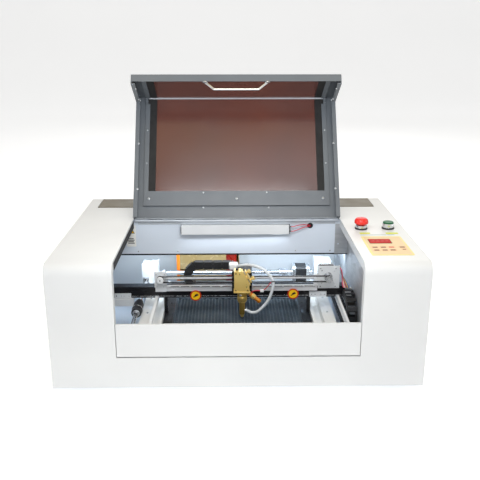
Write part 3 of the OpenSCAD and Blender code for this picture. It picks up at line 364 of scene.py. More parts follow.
class Shape:
    """Faces drawn in millimetres that become one piece, each with its own material."""

    def __init__(self, *materials, place=None):
        self.materials = materials
        self.place = place or Matrix.Identity(4)
        self.points, self.faces, self.slots = [], [], []

    def add(self, points, faces, slot=0, place=None):
        start = len(self.points)
        matrix = self.place @ place if place is not None else self.place
        self.points += [matrix @ Vector(p) for p in points]
        self.faces += [[start + i for i in f] for f in faces]
        self.slots += [slot] * len(faces)

    def box(self, x, y, z, slot=0, place=None):
        points = [(a, b, c) for c in z for b in y for a in x]
        faces = [(0, 2, 3, 1), (4, 5, 7, 6), (0, 1, 5, 4), (2, 6, 7, 3), (0, 4, 6, 2), (1, 3, 7, 5)]
        self.add(points, faces, slot, place)

    def prism(self, outline, z, slot=0, place=None):
        """An outline in x and y, anticlockwise, pulled along z."""
        n = len(outline)
        points = [(p[0], p[1], h) for h in z for p in outline]
        faces = [list(range(n))[::-1], list(range(n, 2 * n))]
        faces += [(i, (i + 1) % n, n + (i + 1) % n, n + i) for i in range(n)]
        self.add(points, faces, slot, place)

    def pad(self, x, y, z, r, slot=0, place=None):
        """A block whose four upright edges are round."""
        self.prism(rounded(x, y, r), z, slot, place)

    def tube_prism(self, outer, inner, z, slot=0, place=None):
        """The wall between two outlines of as many points, pulled along z."""
        n = len(outer)
        points = [(p[0], p[1], h) for h in z for ring in (outer, inner) for p in ring]
        faces = []
        for i in range(n):
            j = (i + 1) % n
            faces += [(i, j, 2 * n + j, 2 * n + i), (n + j, n + i, 3 * n + i, 3 * n + j)]
            faces += [(j, i, n + i, n + j), (2 * n + i, 2 * n + j, 3 * n + j, 3 * n + i)]
        self.add(points, faces, slot, place)

    def turned(self, profile, slot=0, place=None, sides=32):
        """A profile of (height, radius) pairs turned about z. Zero radii close its ends."""
        rings, points = [], []
        for h, r in profile:
            ring = [(0, 0)] if r < 1e-6 else circle(r, sides)
            rings.append(range(len(points), len(points) + len(ring)))
            points += [(x, y, h) for x, y in ring]
        faces = []
        for a, b in zip(rings, rings[1:]):
            for k in range(sides):
                j = (k + 1) % sides
                if len(a) == 1 and len(b) > 1:
                    faces.append((a[0], b[j], b[k]))
                elif len(b) == 1 and len(a) > 1:
                    faces.append((a[k], a[j], b[0]))
                elif len(a) > 1:
                    faces.append((a[k], a[j], b[j], b[k]))
        self.add(points, faces, slot, place)

    def disc(self, low, high, r, slot=0, place=None, sides=32):
        """A plain cylinder about z."""
        self.turned([(low, 0), (low, r), (high, r), (high, 0)], slot, place, sides)

    def ring(self, low, high, hole, r, slot=0, place=None, sides=32):
        """A plain ring about z."""
        self.turned([(low, hole), (low, r), (high, r), (high, hole), (low, hole)], slot, place, sides)

    def knurl(self, count, x, y, z, place):
        """A box repeated about z."""
        for i in range(count):
            self.box(x, (-y, y), z, 0, place @ spin(2 * pi * i / count))

    def swept(self, path, r, slot=0, sides=10):
        """A round tube along points, closed at both ends."""
        path = [Vector(p) for p in path]
        n = len(path)
        side, points = None, []
        for i, p in enumerate(path):
            t = (path[min(i + 1, n - 1)] - path[max(i - 1, 0)]).normalized()
            if side is None:
                side = t.cross(Vector((0.05, 1, 0.1))).normalized()
            side = (side - side.dot(t) * t).normalized()
            up = t.cross(side)
            for k in range(sides):
                a = 2 * pi * k / sides
                points.append(p + r * (cos(a) * side + sin(a) * up))
        faces = [list(range(sides))[::-1], list(range((n - 1) * sides, n * sides))]
        for i in range(n - 1):
            for k in range(sides):
                j = (k + 1) % sides
                a, b = i * sides, (i + 1) * sides
                faces.append((a + k, a + j, b + j, b + k))
        self.add(points, faces, slot)

    def make(self, name, body=None, slot=None, replaces=(), bevel=0.0, smooth=35):
        """The finished object in the row frame, riding on a CAD body."""
        mesh = bpy.data.meshes.new(name)
        mesh.from_pydata([row_point(p) for p in self.points], [], self.faces)
        for m in self.materials:
            mesh.materials.append(MATERIALS[m])
        mesh.polygons.foreach_set("material_index", self.slots)
        mesh.shade_smooth()
        mesh.set_sharp_from_angle(angle=radians(smooth))
        mesh.update()
        made = add_object(name, mesh)
        if bevel:
            mod = made.modifiers.new("round", "BEVEL")
            mod.width = bevel * MM
            mod.segments = 2
            mod.limit_method = "ANGLE"
            mod.angle_limit = radians(40)
        if body:
            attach(made, body)
        if replaces:
            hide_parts(*replaces)
        return made


def circle(r, n=24, centre=(0, 0)):
    return [
        (centre[0] + r * cos(2 * pi * i / n), centre[1] + r * sin(2 * pi * i / n))
        for i in range(n)
    ]


def rounded(x, y, r, steps=5):
    """A rectangle with round corners, anticlockwise."""
    out = []
    left, right, low, high = x[0] + r, x[1] - r, y[0] + r, y[1] - r
    for cx, cy, start in ((right, high, 0), (left, high, 90), (left, low, 180), (right, low, 270)):
        for i in range(steps + 1):
            a = radians(start + 90 * i / steps)
            out.append((cx + r * cos(a), cy + r * sin(a)))
    return out


def curve_through(points, steps):
    """Smooth points through a given route."""
    points = [Vector(p) for p in points]
    n, out = len(points), []
    for i in range(n - 1):
        a, b, c, d = points[max(i - 1, 0)], points[i], points[i + 1], points[min(i + 2, n - 1)]
        for k in range(steps):
            t = k / steps
            out.append(
                0.5 * (2 * b + (c - a) * t + (2 * a - 5 * b + 4 * c - d) * t * t
                       + (3 * b - a - 3 * c + d) * t**3)
            )
    return out + [points[-1]]


def pan_screw(shape, place, axis, r, slot=0, dark=1):
    """A pan-head screw, its seat at place, whose cross recess is a dark cross on its head: painted shade."""
    m = basis(place, axis, 0.4)
    h = 0.62 * r
    shape.turned([(0, 0), (0, r), (0.45 * h, r), (0.8 * h, 0.82 * r), (h, 0.5 * r), (h, 0)], slot, m, 14)
    # The recess is a dark cross standing on the head: painted shade
    for quarter in (0, pi / 2):
        shape.box((-0.55 * r, 0.55 * r), (-0.11 * r, 0.11 * r), (0.6 * h, h + 0.03), dark, m @ spin(quarter))


def screw_piece(name, body, rows, place=None):
    """Pan-head screws, each row its places along x, y and z, its axis and its radius."""
    screws = Shape("zinc", "chip_black", place=place)
    for xs, ys, zs, axis, r in rows:
        for at in product(xs, ys, zs):
            pan_screw(screws, at, axis, r)
    screws.make(name, body, "bright_steel")


def cap_screw(shape, place, axis, r, h, slot=0, dark=1):
    """A socket-head screw whose hexagonal recess is a dark hexagon on its head: painted shade."""
    m = basis(place, axis)
    shape.turned([(0, 0), (0, r), (0.85 * h, r), (h, 0.9 * r), (h, 0)], slot, m, 16)
    # The recess is a dark hexagon on the head: painted shade
    shape.prism(circle(0.5 * r, 6), (h - 0.2, h + 0.03), dark, m)


# ---- body


def dress_cad():
    """Gives each CAD node that stays in view its material."""
    finish = {
        "white_paint": "left_housing right_housing front_panel front_flap rear_panel",
        "wall_paint": "tube_bay_panel base_pan",
        "galvanised": "electronics_partition power_supply",
        "slate_paint": "lid_shell lid_frame",
        "cover_paint": "rear_cover",
        "acrylic": "lid_window lid_front_window",
        "chrome": "lid_handle guide_rod cross_shaft",
        "rail_steel": "x_rail",
        "hinge_steel": "piano_hinges lid_hinge_leaf",
        "aluminium": "y_rails",
        "turned_aluminium": "y_idlers",
        "bracket_paint": "gantry_brackets rear_brackets lamp_housing",
        "black_anodised": "gantry_beam carriage",
        "brass": "head_block",
        "dark_brass": "first_mirror second_mirror",
        "black_plastic": "exhaust_spigot fan_rotor mains_inlet rocker_switch",
        "black_rubber": "rubber_feet x_belt",
        "white_plastic": "y_belts",
        "amber_paint": "exhaust_duct",
        "glass": "laser_tube",
        "nylon": "tube_saddles",
        "board_green": "control_board",
        "bed_dark": "bed_frame",
    }
    for name, nodes in finish.items():
        for node in nodes.split():
            materials = frame["nodes"][node].data.materials
            materials.clear()
            materials.append(MATERIALS[name])


def make_body_details():
    flap_end = limits("front_flap")[0][1]
    side = limits("right_housing")[0][1]
    back = limits("rear_panel")[1][1] - 20
    screw_piece("body_screws", "root", [
        ((-372, -160, 160, 372), (back,), (30, 236), BACK, 3.4),
        ((-side,), (60, 490), (34, 150, 250), LEFT, 3.2),
        ((side,), (60, 490), (34, 150, 250), RIGHT, 3.2),
    ])

    # Magnet catches behind the flap's ends
    catches = Shape("black_plastic", "zinc")
    for s in (-1, 1):
        x = sorted((s * (flap_end - 2), s * (flap_end - 20)))
        catches.box(x, (2.2, 6), (138, 157.6))
    catches.make("flap_magnets", "front_flap", "black_plastic", bevel=0.5)


def make_wall_details():
    wall = limits("lamp_housing")[1][1]
    # Sign with a plain triangle and blank lines
    sign = Shape("sticker_white", "sticker_yellow", "sticker_black")
    x, z = (-279, -255), (221, 277)
    face = facing_front(0, wall, 0)
    sign.pad(x, z, (0.0, 0.25), 1.2, 0, face)
    mid, low = sum(x) / 2, z[0] + 40
    for size, slot, lift in ((11, 2, 0.32), (8.4, 1, 0.4)):
        corners = [2 * pi * i / 3 for i in range(3)]
        tri = [(mid - size * sin(a), low + size * cos(a)) for a in corners]
        sign.prism(tri, (0.0, lift), slot, face)
    for i in range(4):
        line = z[0] + 8 + 4 * i
        sign.box((mid - 8, mid + 8 - 2 * (i % 2)), (line, line + 2), (0, 0.34), 2, face)
    sign.make("wall_sign", "root", "painted_white")

    # Black strips that paint shade: one along the wall's lower edge, and one on the left flange of the
    # opening where shadow falls
    (x0, x1), _, (z0, _) = limits("tube_bay_panel")
    opening = limits("front_flap")[0][0] - 1.5
    shade_strips = Shape("black_rubber")
    shade_strips.box((x0, x1), (wall - 0.4, wall + 3), (z0 - 0.4, z0 + 3.4))
    shade_strips.box((opening, opening + 1.4), (30, wall - 2), (z0 + 73, z0 + 89))
    shade_strips.make("bay_shade_strips", "root", "belt_rubber", bevel=0.3)

    # Grommet round the leads' hole
    grommet = Shape("black_rubber")
    grommet.turned([(-1.5, 3.2), (-1.5, 6.6), (-0.4, 7.4), (1.2, 7.2), (2.4, 6.0), (2.8, 4.2), (2.4, 3.2),
                    (-1.5, 3.2)], 0, basis((185, wall, 275), FRONT), 28)
    grommet.make("wall_grommet", "root", "belt_rubber")

    # Lamp: a diffuser tube, black end plugs, and a dark line round the housing that paints its shadow
    (x0, x1), _, (z0, z1) = limits("lamp_housing")
    lamp = Shape("lamp_tube", "black_plastic", "bracket_paint")
    lamp.disc(0, x1 - x0 - 12, 3.6, 0, basis((x0 + 6, wall - 7, z0 + 3.6), RIGHT), 20)
    for x in (x0 - 1.6, x1):
        lamp.pad((0, 13), (0, z1 - z0), (0, 1.6), 2, 1, facing_right(x, wall - 13.4, z0))
    lamp.make("lamp_tube_and_caps", "root", "bracket_white")
    # A dark plate just larger than the housing, behind it: painted shadow round the lamp
    line = Shape("chip_black")
    line.box((x0 - 2.2, x1 + 2.2), (wall - 0.5, wall), (z0 - 1.2, z1 + 1.2))
    line.make("lamp_shadow_line", "root", "black_plastic")

    # The two leads from the lamp into the grommet, with a black sleeve where each leaves the lamp
    routes = (
        [(131, 333, 274), (142, 333, 274), (155, 334, 277), (168, 335, 278), (178, 336, 277),
         (183, 339, 276), (184, 346, 276)],
        [(131, 333, 262), (142, 333, 262), (155, 334, 266), (168, 335, 271), (178, 336, 273),
         (186, 339, 274), (186, 346, 274)],
    )
    leads = Shape("lead_red", "lead_black")
    for route in routes:
        leads.swept(curve_through(route, 5), 1.1, 0)
    for route in routes:
        p, q = Vector(route[0]), Vector(route[1])
        leads.swept([p, (p + q) / 2], 1.6, 1)
    leads.make("lamp_leads", "root", "lamp_lead", replaces=("lamp_wires",))

    screw_piece("wall_screws", "root", [((-250, -150, 150, 238), (wall,), (208,), FRONT, 2.0)])


# ---- control panel


def make_panel():
    (x0, x1), (y0, y1), (z0, z1) = limits("panel_overlay")

    film = Shape("film_edge", "film_cream", "film_key", "film_brown", "film_red", "label_teal")
    film.pad((x0, x1), (y0, y1), (z0, z1 - 0.15), 4)
    film.pad((x0 + 5, x1 - 4), (y0 + 5, y1 - 4), (z0, z1 - 0.05), 3, 1)
    keys = [(301, 109), (319.5, 109), (337.5, 109.5), (361, 109),
            (301, 89), (319, 89), (336.5, 89.5), (362, 94)]
    for i, (x, y) in enumerate(keys):
        wide, tall = (6.4, 3.6) if i != 7 else (4.4, 2.6)
        mark = 3 if i != 2 else 4
        film.pad((x - wide - 1.6, x + wide + 1.6), (y - tall - 3, y + tall + 3), (z0, z1 + 0.05), 2.4, 2)
        film.pad((x - wide + 1, x + wide - 1), (y - 0.8 * tall, y + 0.8 * tall), (z0, z1 + 0.12), 0.8, mark)
    film.make("membrane_keypad", "root", "panel_film", replaces=("panel_overlay",))

    # Display window with plain dashes in four places
    screen = Shape("display_red", "display_mark", "film_brown")
    sx, sy = (297, 344.5), (137.5, 166)
    screen.pad((sx[0] - 1.6, sx[1] + 1.6), (sy[0] - 1.6, sy[1] + 1.6), (z1 - 0.2, z1 + 0.25), 2, 2)
    screen.pad(sx, sy, (z1 - 0.2, z1 + 0.9), 1.4)
    for i in range(4):
        cx = sx[0] + 8 + 10.5 * i
        screen.box((cx - 3, cx + 3), (150.8, 152.4), (z1, z1 + 0.94), 1)
    screen.make("display_window", "root", "panel_film", bevel=0.25)

    # Name strips over the panel, left blank, and the thin line between them
    strips = Shape("label_lime", "label_teal")
    strips.pad((287, 311), (210, 219.5), (z0, z0 + 0.4), 1)
    strips.pad((348, 376.5), (208.5, 219), (z0, z0 + 0.4), 1)
    strips.box((286, 366), (200.4, 202.6), (z0, z0 + 0.25), 1)
    strips.make("button_labels", "root", "panel_film")


def make_buttons():
    """Rings round both buttons, the mushroom and the start cap, in heights over the housing's top."""
    top = limits("left_housing")[2][1]

    def seat(node):
        """A button's place on the top, its radius and its height."""
        (x0, x1), (y0, y1), z = limits(node)
        return shift((x0 + x1) / 2, (y0 + y1) / 2, top), (x1 - x0) / 2, z[1] - top

    stop, stop_r, stop_high = seat("estop_button")
    start, start_r, start_high = seat("start_button")

    rings = Shape("black_plastic", "chrome")
    guard = [(13.2, 13.6), (13.5, 13.2), (13.2, 12.8), (10.9, 12.8), (10.9, 9.6)]
    collar = [(9.4, 13.4), (10.6, 12.4), (10.9, 11.2), (10.6, 9.6)]
    base = [(-30, 9.5), (-30, 10.9), (0, 10.9), (0, 15), (3, 15), (4, 14.2), (4, 9.5), (-30, 9.5)]
    for m, lip in ((stop, collar), (start, guard)):
        rings.turned(base, 0, m, 40)
        rings.turned([(4, 9.6), (4, 13.6)] + lip + [(4, 9.6)], 1, m, 40)
    rings.make("button_rings", "root", "bezel_metal", replaces=("button_bezels",))

    mushroom = Shape("red_plastic")
    neck = [(-14, 0), (-14, 9.3), (15, 9.3), (15.4, 12), (15.8, 14.6)]
    dome = [(13.4, 14.6), (13.2, 15.2), (13.6, stop_r - 0.6), (15, stop_r), (19.4, stop_r),
            (20.8, stop_r - 0.8)]
    for a in map(radians, (15, 30, 45, 60, 75)):
        dome.append((stop_high - 7 * (1 - sin(a)), (stop_r - 0.8) * cos(a) ** 0.8))
    mushroom.turned(neck + dome + [(stop_high, 0)], 0, stop, 48)
    mushroom.knurl(18, (stop_r - 0.5, stop_r - 0.02), 1.1, (14.6, 19.8), stop)
    mushroom.make("estop_mushroom", "estop", "estop_red", replaces=("estop_button",))

    button = Shape("green_plastic")
    button.turned([(-14, 0), (-14, 9.3), (13.7, 9.3), (13.7, start_r - 0.6), (14.3, start_r),
                   (start_high - 0.9, start_r), (start_high, start_r - 1), (start_high - 0.5, 8),
                   (start_high - 0.7, 0)], 0, start, 40)
    button.make("start_cap", "start", "start_green", replaces=("start_button",))


# ---- lid


def lid_matrix():
    """Places what is drawn on the shut lid, from its hinge axis, at the open rest position."""
    j = JOINTS["lid_hinge"]
    pos = Vector(j["pos_m"]) - Vector((0, FRONT_Y, 0))
    return Matrix.Translation(pos / MM) @ spin(-radians(j["range_deg"][1]), "X")


def make_lid():
    place = lid_matrix()
    lid_front, lid_low = -335, -127
    screw_piece("lid_screws", "lid", [
        ((-221, 0, 218), (-56,), (-5,), DOWN, 3.0),
        ((-84, 76), (-72,), (-5,), DOWN, 1.8),
        ((-84, 81), (-34,), (0,), DOWN, 2.2),
        ((-247.5, 247.5), (-76, -197, -315), (-23,), DOWN, 2.4),
        ((-247.5, 247.5), (lid_front + 25,), (-40, -100), BACK, 2.4),
        ((-228.5, 228.5), (-150, -240), (-5,), DOWN, 1.8),
        ((-225, -112, 112, 225), (lid_front + 14,), (lid_low + 2,), UP, 1.9),
    ], place)

    # Hinge leaf rivets
    rivets = Shape("zinc", place=place)
    for i in range(9):
        rivets.turned([(0, 0), (0, 2), (0.6, 1.7), (1.0, 0.9), (1.0, 0)], 0,
                      basis((57 * i - 228, -5.5, -5), FRONT), 12)
    rivets.make("hinge_rivets", "lid", "bright_steel")

    # Black strips where the panes lie on the sheet: painted shade where no light comes through the panes
    pane_shade = Shape("black_rubber", place=place)
    pane = limits("lid_window")[0]
    for s in (-1, 1):
        x = sorted((s * 205, s * (pane[1] + 0.6)))
        pane_shade.box(x, (lid_front + 6, -68), (-3.25, -3.02))
        pane_shade.box(x, (lid_front + 5.02, lid_front + 5.25), (lid_low + 16, -4))
    pane_shade.make("pane_shade_strips", "lid", "belt_rubber")

    # Bright strip where the panes meet at the bend: a painted highlight of the bent acrylic
    bend_highlight = Shape("hinge_steel", place=place)
    bend_highlight.box(pane, (lid_front + 4.9, lid_front + 8), (-6, -2.9))
    bend_highlight.make("bend_highlight_strip", "lid", "bright_steel", bevel=0.4)

    # Feet of the handle
    feet = Shape("chrome", "zinc", place=place)
    for x in (-76, 76):
        m = basis((x, lid_front + 18, lid_low + 6), BACK)
        feet.turned([(0, 0), (0, 7), (1.4, 7), (2.6, 5.6), (3.2, 4.2), (3.2, 0)], 0, m, 28)
    feet.make("handle_feet", "lid", "bright_steel")


# ---- bed


def make_honeycomb():
    """Hexagonal cells of thin steel in a border, over a dark sheet that paints the shade inside the cells."""
    (x0, x1), (y0, y1), (z0, z1) = limits("honeycomb")
    rim, wall = 5.0, 0.45
    comb = Shape("comb_steel", "comb_shade_floor")
    # Dark sheet under the cells: painted shade
    comb.box((x0, x1), (y0, y1), (z0, z0 + 0.5), 1)
    for x in ((x0, x0 + rim), (x1 - rim, x1)):
        comb.box(x, (y0, y1), (z0 + 0.5, z1), 1)
    for y in ((y0, y0 + rim), (y1 - rim, y1)):
        comb.box((x0 + rim, x1 - rim), y, (z0 + 0.5, z1), 1)
    width, depth = x1 - x0 - 2 * rim, y1 - y0 - 2 * rim
    columns = round(width / 8)
    pitch = width / columns
    size = pitch / 1.5
    row = size * sqrt(3)
    rows = int(depth / row)
    start = (y0 + y1 - (rows - 0.5) * row) / 2
    for i in range(columns):
        cx = x0 + rim + pitch * (i + 0.5)
        for j in range(rows):
            cy = start + row * (j + (0.5 if i % 2 else 0))
            outer = circle(size, 6, (cx, cy))
            inner = circle(size - wall, 6, (cx, cy))
            points = [(p[0], p[1], z1) for p in outer + inner] + [(p[0], p[1], z0 + 0.5) for p in inner]
            faces = []
            for k in range(6):
                n = (k + 1) % 6
                faces += [(k, n, 6 + n, 6 + k), (6 + k, 6 + n, 12 + n, 12 + k)]
            comb.add(points, faces, 0)
    comb.make("honeycomb_cells", "root", "comb_steel", replaces=("honeycomb",), smooth=20)


def make_bed_details():
    screws = Shape("zinc", "chip_black")
    for s in (-1, 1):
        for y in (40, 130, 220, 310, 420):
            cap_screw(screws, (s * 219, y, 90), UP, 3.2, 1.6)
        for y in (70, 200, 310):
            pan_screw(screws, (s * 167, y, 78), UP, 2.4, 1)
    screws.make("rail_screws", "root", "bright_steel")
    brackets = Shape("bracket_paint", "zinc", "chip_black")
    for x, z in ((-229, 150), (230, 158)):
        for y in (404.5, 432.5):
            cap_screw(brackets, (x, y, z), UP, 3, 2, 1, 2)
    brackets.make("bracket_screws", "root", "bracket_white")


# ---- drives


def toothed_pulley(shape, place, width, slot=0):
    """A timing pulley about z, from its middle: teeth and two flanges."""
    teeth, flange = 20, PULLEY_R + 2.2
    outline = []
    for i in range(teeth):
        for f, k in ((-0.28, 1.0), (-0.18, 0.9), (0.18, 0.9), (0.28, 1.0)):
            a = 2 * pi * (i + f) / teeth
            outline.append((PULLEY_R * k * cos(a), PULLEY_R * k * sin(a)))
    shape.prism(outline, (-width / 2, width / 2), slot, place)
    for s in (-1, 1):
        a, b = sorted((s * width / 2, s * (width / 2 + 1.3)))
        shape.turned([(a, 0), (a, flange), (a + 0.4, flange), (b, flange - 0.5), (b, 0)], slot, place, 36)


def belt(shape, length, place, width):
    """A toothed loop about two pulleys, drawn in x and y of its place."""
    outer, inner, pitch = PULLEY_R + 1.4, PULLEY_R + 0.55, 2.0
    steps = 12

    def loop(radius):
        out = []
        for start, x in ((-90, length), (90, 0)):
            for i in range(steps + 1):
                a = radians(start + 180 * i / steps)
                out.append((x + radius * cos(a), radius * sin(a)))
        return out

    shape.tube_prism(loop(outer), loop(inner), (0, width), 0, place)
    for i in range(int(length / pitch)):
        x = pitch * (i + 0.5)
        for y in ((inner - 0.55, inner + 0.05), (-inner - 0.05, -inner + 0.55)):
            shape.box((x - 0.5, x + 0.5), y, (0.3, width - 0.3), 0, place)


def stepper(shape, place, length):
    """A square stepper motor whose shaft face is at z = 0 and whose body runs to z = length."""
    half, cut, cap = 21, 4.5, 9
    octagon = [(half, half - cut), (half - cut, half), (cut - half, half), (-half, half - cut),
               (-half, cut - half), (cut - half, -half), (half - cut, -half), (half, cut - half)]
    small = [(0.97 * x, 0.97 * y) for x, y in octagon]
    shape.prism(octagon, (0, cap), 1, place)
    shape.prism(small, (cap, length - cap), 0, place)
    shape.prism(octagon, (length - cap, length), 1, place)
    layers = int((length - 2 * cap) / 2)
    for i in range(layers):
        z = cap + 2 * i + 0.5
        shape.prism([(1.006 * x, 1.006 * y) for x, y in small], (z, z + 1.1), 0, place)
    corners = (5.5 - half, half - 5.5)
    for x, y in product(corners, corners):
        pan_screw(shape, place @ Vector((x, y, length)), place.to_3x3() @ Vector(UP), 2.4, 2, 3)


def make_motors():
    materials = ("motor_black", "turned_aluminium", "zinc", "chip_black", "white_plastic")
    (x0, _), _, (z0, z1) = limits("x_motor")
    cx, cz = x0 + 21, (z0 + z1) / 2
    motor = Shape(*materials)
    face = basis((cx, BEAM_FRONT - 1, cz), BACK)
    stepper(motor, face, 34)
    motor.disc(-3, 0, 11, 1, face, 36)
    motor.box((cx + 21, cx + 27), (256, 270), (cz + 4, cz + 16), 4)
    motor.make("x_stepper", "gantry", "motor_black", replaces=("x_motor",), bevel=0.25)

    motor = Shape(*materials)
    face = basis((150, SHAFT_Y, SHAFT_Z), RIGHT)
    stepper(motor, face, 46)
    motor.disc(-2, 0, 11, 1, face, 36)
    motor.box((158, 176), (SHAFT_Y + 21, SHAFT_Y + 28), (SHAFT_Z - 8, SHAFT_Z + 4), 4)
    motor.make("y_stepper", "root", "motor_black", replaces=("y_motor",), bevel=0.25)


def make_pulleys():
    for node, x, hub in (("x_pulley", PULLEY_X, 5), ("idler_pulley", IDLER_X, 3)):
        _, (y0, y1), (z0, z1) = limits(node)
        z, end = (z0 + z1) / 2, y1 - X_BELT_Y
        wheel = Shape("turned_aluminium", "zinc", "chip_black")
        m = basis((x, X_BELT_Y, z), BACK)
        toothed_pulley(wheel, m, 8)
        wheel.disc(5.2, end, hub, 0, m, 24)
        if node == "x_pulley":
            front = basis((x, y0, z), FRONT)
            wheel.turned([(-0.2, 0), (-0.2, 2.5), (0.02, 2.3), (0.02, 0)], 1, front, 20)
        else:
            cap_screw(wheel, (x, y0 + 0.02, z), FRONT, 3.4, 0.02, 1, 2)
        wheel.make(node + "_toothed", node, "rail_aluminium", replaces=(node,))

    y0, y1 = limits("x_belt")[1]
    loop = Shape("black_rubber")
    belt(loop, PULLEY_X - IDLER_X, facing_front(IDLER_X, y1, X_BELT_Z), y1 - y0)
    loop.make("x_timing_belt", "gantry", "belt_rubber", replaces=("x_belt",))

    loops = Shape("white_plastic")
    for x in Y_BELTS_X:
        belt(loops, SHAFT_Y - Y_IDLERS_Y, facing_right(x - 3, Y_IDLERS_Y, SHAFT_Z), 6)
    loops.make("y_timing_belts", "root", "belt_white", replaces=("y_belts",))

    # Cross shaft in two lengths, with a slotted coupling and a pulley at each end
    shaft = Shape("chrome", "turned_aluminium", "zinc", "chip_black")
    (x0, x1), (y0, y1), (z0, z1) = limits("cross_shaft")
    y, z = (y0 + y1) / 2, (z0 + z1) / 2
    along = basis((0, y, z), RIGHT)
    shaft.turned([(x0, 0), (x0, 5.4), (x0 + 1, 6), (139, 6), (139, 0)], 0, along, 32)
    shaft.turned([(196.3, 0), (196.3, 6), (x1 - 1, 6), (x1, 5.4), (x1, 0)], 0, along, 32)
    coupling = [(114, 0), (114, 9.2), (114.8, 10)]
    for i in range(5):
        h = 121 + 2.6 * i
        coupling += [(h, 10), (h, 9.0), (h + 0.9, 9.0), (h + 0.9, 10)]
    coupling += [(138.2, 10), (139, 9.2), (139, 5), (147.5, 5), (147.5, 0)]
    shaft.turned(coupling, 1, along, 36)
    for x in (117.4, 135.6):
        cap_screw(shaft, (x, y - 9.2, z), FRONT, 1.9, 0.9, 2, 3)
    for x in Y_BELTS_X:
        toothed_pulley(shaft, basis((x, y, z), RIGHT), 7.4, 1)
    shaft.make("cross_shaft_turned", "cross_shaft", "bright_steel", replaces=("cross_shaft",))


def make_bearing():
    (x0, x1), (y0, y1), (z0, z1) = limits("linear_bearing")
    sleeve = Shape("black_plastic", "turned_aluminium", "black_anodised")
    m = basis(((x0 + x1) / 2, y0, (z0 + z1) / 2), BACK)
    end = y1 - y0
    sleeve.turned([(0, 5.1), (0, 10.6), (1.0, 11.8), (2, 12), (18, 12), (18, 12.9), (22, 12.9), (22, 12),
                   (end - 15, 12), (end - 14, 11.2), (end - 13, 9), (end, 9), (end, 5.1), (0, 5.1)], 0, m, 36)
    sleeve.ring(18.3, 21.7, 11, 13, 1, m, 36)
    sleeve.turned([(-0.05, 5.1), (-0.05, 8.4), (0.3, 8.6), (0.3, 5.1), (-0.05, 5.1)], 1, m, 36)
    sleeve.make("guide_bearing", "gantry", "black_anodised", replaces=("linear_bearing",))


def make_gantry_details():
    (x0, x1), (front, back), (_, top) = limits("gantry_beam")
    # Bright line along the beam's lower groove, a painted highlight on its lip, its end plugs, and dark slots
    # along the rail's upper edge
    groove_highlight_and_trim = Shape("turned_aluminium", "black_plastic", "chip_black")
    for x in ((-338, -301), (-257, 174), (220, 262)):
        groove_highlight_and_trim.box(x, (front - 0.5, front + 0.2), (BEAM_LOW + 3.6, BEAM_LOW + 4.6), 0)
    for x in ((x0, x0 + 1.5), (x1 - 1.5, x1)):
        groove_highlight_and_trim.box(x, (front + 2.6, back - 2.6), (BEAM_LOW + 2.6, top - 2.6), 1)
    for i in range(14):
        x = 25 * i - 161.5
        groove_highlight_and_trim.box((x, x + 20), (front - 9.15, front - 8.8), (153.2, 154.7), 2)
    groove_highlight_and_trim.make("beam_highlight_and_trim", "gantry", "black_anodised")

    # Two round badges with a plain mark, on stubs in front of the beam
    badges = Shape("sticker_red", "sticker_yellow", "sticker_black", "black_plastic")
    for x, z in ((-101, 133), (135, 136)):
        y = BEAM_FRONT - 15.1
        m = basis((x, y, z), FRONT)
        badges.disc(-15.2, -1, 3.5, 3, basis((x, y, z - 5.5), FRONT), 24)
        badges.turned([(-1, 0), (-1, 13.4), (0, 13.6), (0.5, 13.2), (0.5, 0)], 0, m, 44)
        badges.disc(0, 0.62, 10.6, 1, m, 40)
        slant = m @ spin(radians(28))
        badges.pad((-7, 7), (-2.2, 0.4), (0, 0.72), 1.2, 2, slant)
        badges.pad((-2, 6), (-0.4, 3.0), (0, 0.74), 1.4, 2, slant)
    badges.make("beam_badges", "gantry", "black_anodised")

    screw_piece("gantry_screws", "gantry", [
        ((201.5, 238.5), (236,), (151.5, 198), FRONT, 2.6),
        ((205, 235), (236,), (160, 191), FRONT, 1.8),
        ((-294, -282, -276, -264), (237,), (128,), FRONT, 2.0),
        ((181, 190, 204, 213), (237,), (130,), FRONT, 2.0),
        ((-195, -175), (229,), (186,), FRONT, 1.8),
        ((-194, -178), (228,), (155,), FRONT, 1.8),
    ])

    # White shroud round the idler's front
    shroud = Shape("white_plastic", "chip_black")
    m = basis((IDLER_X, 215.6, X_BELT_Z), FRONT)
    shroud.turned([(-0.4, 3.6), (-0.4, 8.6), (1.6, 8.6), (2.6, 7.4), (2.8, 5), (2.8, 0)], 0, m, 32)
    shroud.disc(2.0, 2.9, 1.6, 1, m, 16)
    shroud.make("idler_cap", "idler_pulley", "rail_aluminium")


def make_leads():
    """Six motor leads from the X motor's socket into the Y chain."""
    px, by = PULLEY_X, BEAM_FRONT
    tones = ["pink", "white", "orange", "purple", "yellow", "blue"]
    leads = Shape(*["lead_" + t for t in tones])
    for i in range(6):
        route = [
            (px + 27.2, by + 17 + 2.4 * i, 186), (px + 32, by + 15 + 2.4 * i, 190),
            (px + 35, by + 9 + 2.4 * i, 186), (px + 36, by + 5 + 2 * i, 175),
            (px + 36 + 1.6 * i, by + 3 + i, 163), (px + 37 + 2.4 * i, by - 1, 154),
            (px + 39 + 2.6 * i, by - 5, 147.2),
        ]
        leads.swept(curve_through(route, 5), 1.35, i, 10)
    leads.make("motor_leads", "gantry", "motor_lead", replaces=("stepper_leads",))


